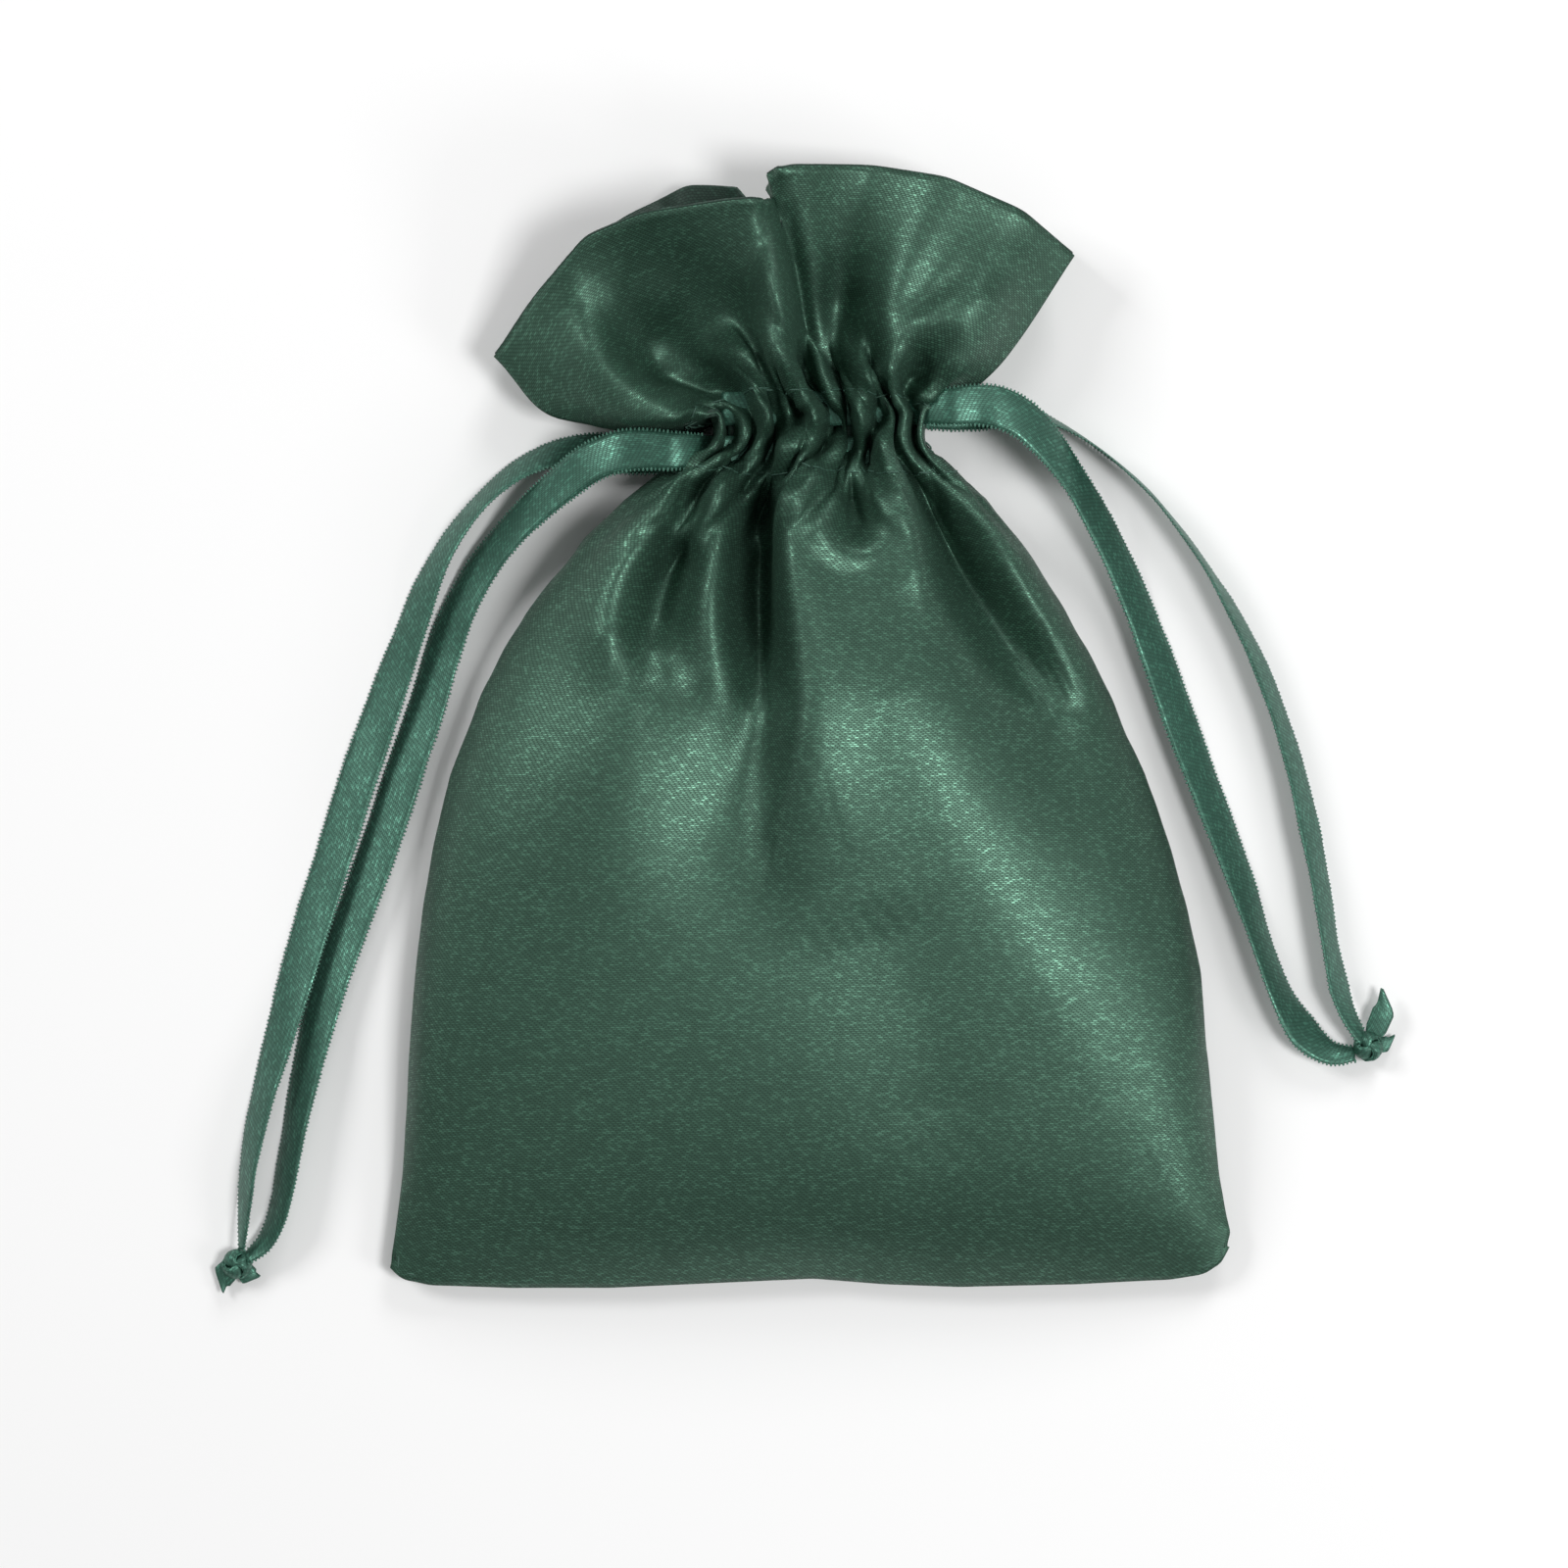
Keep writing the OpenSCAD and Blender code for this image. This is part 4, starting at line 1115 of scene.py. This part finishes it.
class SACK_OT_drawstrings(bpy.types.Operator):
    """Add both ribbon drawstrings: four free strands, two knots and the runs inside the casings"""
    bl_idname = "sack.drawstrings"
    bl_label = "Ribbon Drawstrings"

    def execute(self, context):
        size = settings("sack_ribbon")
        for side in ("left", "right"):
            body = side + "_drawstring"
            parts, middle, turn = knot_bundle(side)
            ahead = np.array([math.cos(turn), math.sin(turn), 0.0])
            beside = np.array([-ahead[1], ahead[0], 0.0])
            placed = []
            for p, f, u in parts:
                q = p[:, :1] * ahead + p[:, 1:2] * beside + p[:, 2:] * np.array([0, 0, 1.0])
                placed.append((q + np.array([*middle, 0.1]), f, u * MM))
            for angle, length, width, lift, lean in TAILS[side]:
                direction = ahead * math.cos(math.radians(angle)) + beside * math.sin(math.radians(angle))
                start = np.array([*middle, 2.0]) + direction * 0.8
                p, f, u = tail(start, direction, length, lift, width, lean)
                placed.append((p, f, u * MM))
            points, faces, uv = merged(placed)
            points = points * MM
            points[:, 2] = np.maximum(points[:, 2], 0.0001)
            knot = new_piece("ribbon_knot_" + side, points, faces, finish("ribbon"), uv)
            belongs(knot, body, "ribbon", side + "_knot")
            for layer in ("front", "back"):
                name = side + "_" + layer
                path, tilt, length = route_points(name)
                strand, edge = ribbon_piece("ribbon_" + name, path, tilt, 0.00018, 0.00012)
                belongs(strand, body, "ribbon", name + "_strand")
                belongs(edge, body, "ribbon")
                out = (EXIT_X * (-MM if side == "left" else MM), CASING_Y[side] * MM, path[0][2])
            run = casing_run(side)
            along = directions(run)
            wide = np.broadcast_to(np.array([0.0, 1.0, 0.0]), along.shape)
            out = np.cross(along, wide)
            points, faces, uv, _ = band(run, wide, out, size.width * 0.8, size.thickness, 0.0, 0.00006)
            loop = new_piece("ribbon_loop_" + side, points, faces, finish("ribbon"), uv)
            belongs(loop, body, "ribbon", side + "_ribbon_loop")
        return {"FINISHED"}


class SACK_OT_panels(bpy.types.Operator):
    """Add the front and back panels of satin, gathered at the neck"""
    bl_idname = "sack.panels"
    bl_label = "Satin Panels"

    def execute(self, context):
        cloth = settings("sack_cloth")
        made = settled_panels()
        for side in ("front", "back"):
            grid, out = made[side], made[side + "_out"]
            half = cloth.thickness / MM / 2
            outer, inner = grid + out * half, grid - out * half
            points, faces = shell(outer, inner, side == "back")
            uv = cut_uv(*grid.shape[:2])
            piece = new_piece(f"satin_{side}_panel", points * MM, faces, finish("satin"), uv)
            piece.data.materials.append(finish("lining"))
            wall = (grid.shape[0] - 1) * (grid.shape[1] - 1)
            for k in range(wall, 2 * wall):
                piece.data.polygons[k].material_index = 1
            belongs(piece, "sack", "satin", f"{side}_panel")
        return {"FINISHED"}


class SACK_OT_facings(bpy.types.Operator):
    """Add the facings: the top edge of each panel, turned in and down to below the casing"""
    bl_idname = "sack.facings"
    bl_label = "Facings"

    def execute(self, context):
        cloth = settings("sack_cloth")
        made = settled_panels()
        for side in ("front", "back"):
            grid, out = made[side], made[side + "_out"]
            rows = np.linspace(0, PANEL_L, grid.shape[0])
            keep = rows >= FACING_FROM
            face, normal = grid[keep][:, 1:-1], out[keep][:, 1:-1]
            gap = np.full(face.shape[0], 0.42)
            gap[-1], gap[-2] = 0.16, 0.38
            middle = face - normal * gap[:, None, None]
            rim = middle[-1] + (face[-1] - face[-2]) / np.linalg.norm(face[-1] - face[-2], axis=-1,
                                                                      keepdims=True) * 0.22
            middle = np.concatenate([middle, rim[None]])
            normal = np.concatenate([normal, normal[-1:]])
            half = cloth.thickness / MM / 2
            width = np.full(middle.shape[0], half)
            width[-1] = half * 0.9
            points, faces = shell(middle - normal * width[:, None, None],
                                  middle + normal * width[:, None, None], side == "front")
            uv = cut_uv(*middle.shape[:2], FACING_FROM)
            piece = new_piece(f"satin_{side}_facing", points * MM, faces, finish("lining"), uv)
            belongs(piece, "sack", "lining", f"{side}_facing")
        return {"FINISHED"}


ALLOWANCE = 4.6


def seam_line(side):
    """Points on a seam, the way into the sack at each, and the way up between the two layers."""
    made = settled_panels()
    front, back = made["front"], made["back"]
    if side == "bottom":
        seam, f, b = front[0], front[5], back[5]
    else:
        k, step = (0, 5) if side == "left" else (-1, -6)
        seam, f, b = front[:, k], front[:, step], back[:, step]
    inward = unit((f + b) / 2 - seam)
    along = directions(seam)
    up = unit(np.cross(along, inward))
    up *= np.sign(up[:, 2:] + 1e-9)
    return seam, inward, along, up


class SACK_OT_seams(bpy.types.Operator):
    """Add the seam allowances inside the sack, their stitching and the overlock thread on their edges"""
    bl_idname = "sack.seams"
    bl_label = "Seam Allowances"

    def execute(self, context):
        thread = settings("sack_thread")
        for side in ("left", "right", "bottom"):
            seam, inward, along, up = seam_line(side)
            trim = slice(6, -6) if side == "bottom" else slice(3, -2)
            seam, inward, along, up = (a[trim] for a in (seam, inward, along, up))
            reach = np.linspace(0.4, ALLOWANCE, 8)
            wave = 0.25 * np.sin(np.arange(len(seam)) * 0.55)
            grid = seam[:, None, :] + inward[:, None, :] * reach[None, :, None]
            grid = grid + up[:, None, :] * (wave[:, None] * (reach / ALLOWANCE)[None, :])[..., None]
            lift = up[:, None, :] * 0.28
            points, faces = shell(grid + lift, grid - lift, False)
            n = len(seam)
            u = np.tile(reach[None, :], (n, 1))
            v = np.arange(n)[:, None] * np.ones((1, len(reach)))
            uv = np.tile(np.stack([u, v], -1).reshape(-1, 2), (2, 1)) * MM * UV_PER_METRE
            strip = new_piece(f"seam_allowance_{side}", points * MM, faces, finish("lining"), uv)
            fix_facing(strip)
            belongs(strip, "sack", "lining", f"{side}_seam_allowance")
            line = np.c_[seam + inward * 1.1 + up * 0.34, along, up]
            length = np.linalg.norm(np.diff(line[:, :3], axis=0), axis=1).sum()
            spots, _ = spaced(line, int(length / (thread.stitch_spacing / MM)))
            threaded(f"seam_stitching_{side}", spots, bead_tree(), stitch_values(), f"{side}_seam_stitch")
            edge = grid[:, -1]
            line = np.c_[edge - inward * 0.9, inward, up]
            spots, _ = spaced(line, int(length / (thread.overlock_spacing / MM)))
            threaded(f"overlock_{side}", spots, loop_tree(),
                     {"Length": 0.0029, "Height": 0.00096, "Thickness": thread.thickness * 1.2},
                     f"{side}_overlock_thread")
        return {"FINISHED"}


def fix_facing(piece):
    """Turns every face of a closed piece outwards."""
    work = bmesh.new()
    work.from_mesh(piece.data)
    bmesh.ops.recalc_face_normals(work, faces=work.faces)
    work.to_mesh(piece.data)
    work.free()


# the casing's stitch rows, by their place along the cloth
STITCH_ROWS = (("upper", 144.0), ("lower", 130.5))


class SACK_OT_casing_stitches(bpy.types.Operator):
    """Add the rows of stitches above and below the ribbons on both panels"""
    bl_idname = "sack.casing_stitches"
    bl_label = "Casing Stitches"

    def execute(self, context):
        thread, cloth = settings("sack_thread"), settings("sack_cloth")
        made = settled_panels()
        for side in ("front", "back"):
            grid, out = made[side], made[side + "_out"]
            rows = np.linspace(0, PANEL_L, grid.shape[0])
            for level, cut in STITCH_ROWS:
                j = int(np.argmin(np.abs(rows - cut)))
                line = np.c_[grid[j] + out[j] * (cloth.thickness / MM / 2 + 0.04),
                             directions(grid[j]), out[j]]
                count = int(PANEL_W / (thread.stitch_spacing / MM))
                spots, _ = spaced(line[1:-1], count)
                threaded(f"casing_stitches_{side}_{level}", spots, bead_tree(), stitch_values(),
                         f"{side}_{level}_casing_stitch")
        return {"FINISHED"}


class SACK_OT_declare(bpy.types.Operator):
    """A step that adds nothing to the scene"""
    bl_idname = "sack.declare"
    bl_label = "Cloth Facts"

    def execute(self, context):
        return {"FINISHED"}


class SACK_PT_sidebar(bpy.types.Panel):
    """Lists the sack's settings and its pieces"""
    bl_idname = "SACK_PT_sidebar"
    bl_label = "Satin Drawstring Sack"
    bl_space_type = "VIEW_3D"
    bl_region_type = "UI"
    bl_category = "Satin Sack"

    def draw(self, context):
        column = self.layout.column()
        for group in ("sack_cloth", "sack_ribbon", "sack_thread", "sack_finish"):
            values = settings(group)
            box = column.box()
            for key in values.bl_rna.properties.keys():
                if key not in ("rna_type", "name"):
                    box.prop(values, key)
        for operator in OPERATORS:
            column.operator(operator.bl_idname)


GROUPS = {"sack_cloth": SACK_PG_cloth, "sack_ribbon": SACK_PG_ribbon,
          "sack_thread": SACK_PG_thread, "sack_finish": SACK_PG_finish}
OPERATORS = (SACK_OT_stage, SACK_OT_drawstrings, SACK_OT_panels, SACK_OT_facings, SACK_OT_seams,
             SACK_OT_casing_stitches, SACK_OT_declare)


def register():
    for kind in (*GROUPS.values(), *OPERATORS, SACK_PT_sidebar):
        bpy.utils.register_class(kind)
    for name, kind in GROUPS.items():
        setattr(bpy.types.Scene, name, bpy.props.PointerProperty(type=kind))


def unregister():
    for name in GROUPS:
        delattr(bpy.types.Scene, name)
    for kind in (SACK_PT_sidebar, *reversed(OPERATORS), *reversed(GROUPS.values())):
        bpy.utils.unregister_class(kind)


def main():
    register()
    for step in (bpy.ops.sack.stage, bpy.ops.sack.drawstrings, bpy.ops.sack.panels, bpy.ops.sack.facings,
                 bpy.ops.sack.seams, bpy.ops.sack.casing_stitches, bpy.ops.sack.declare):
        if step() != {"FINISHED"}:
            raise RuntimeError("a step of the build did not finish")


if __name__ == "__main__":
    main()
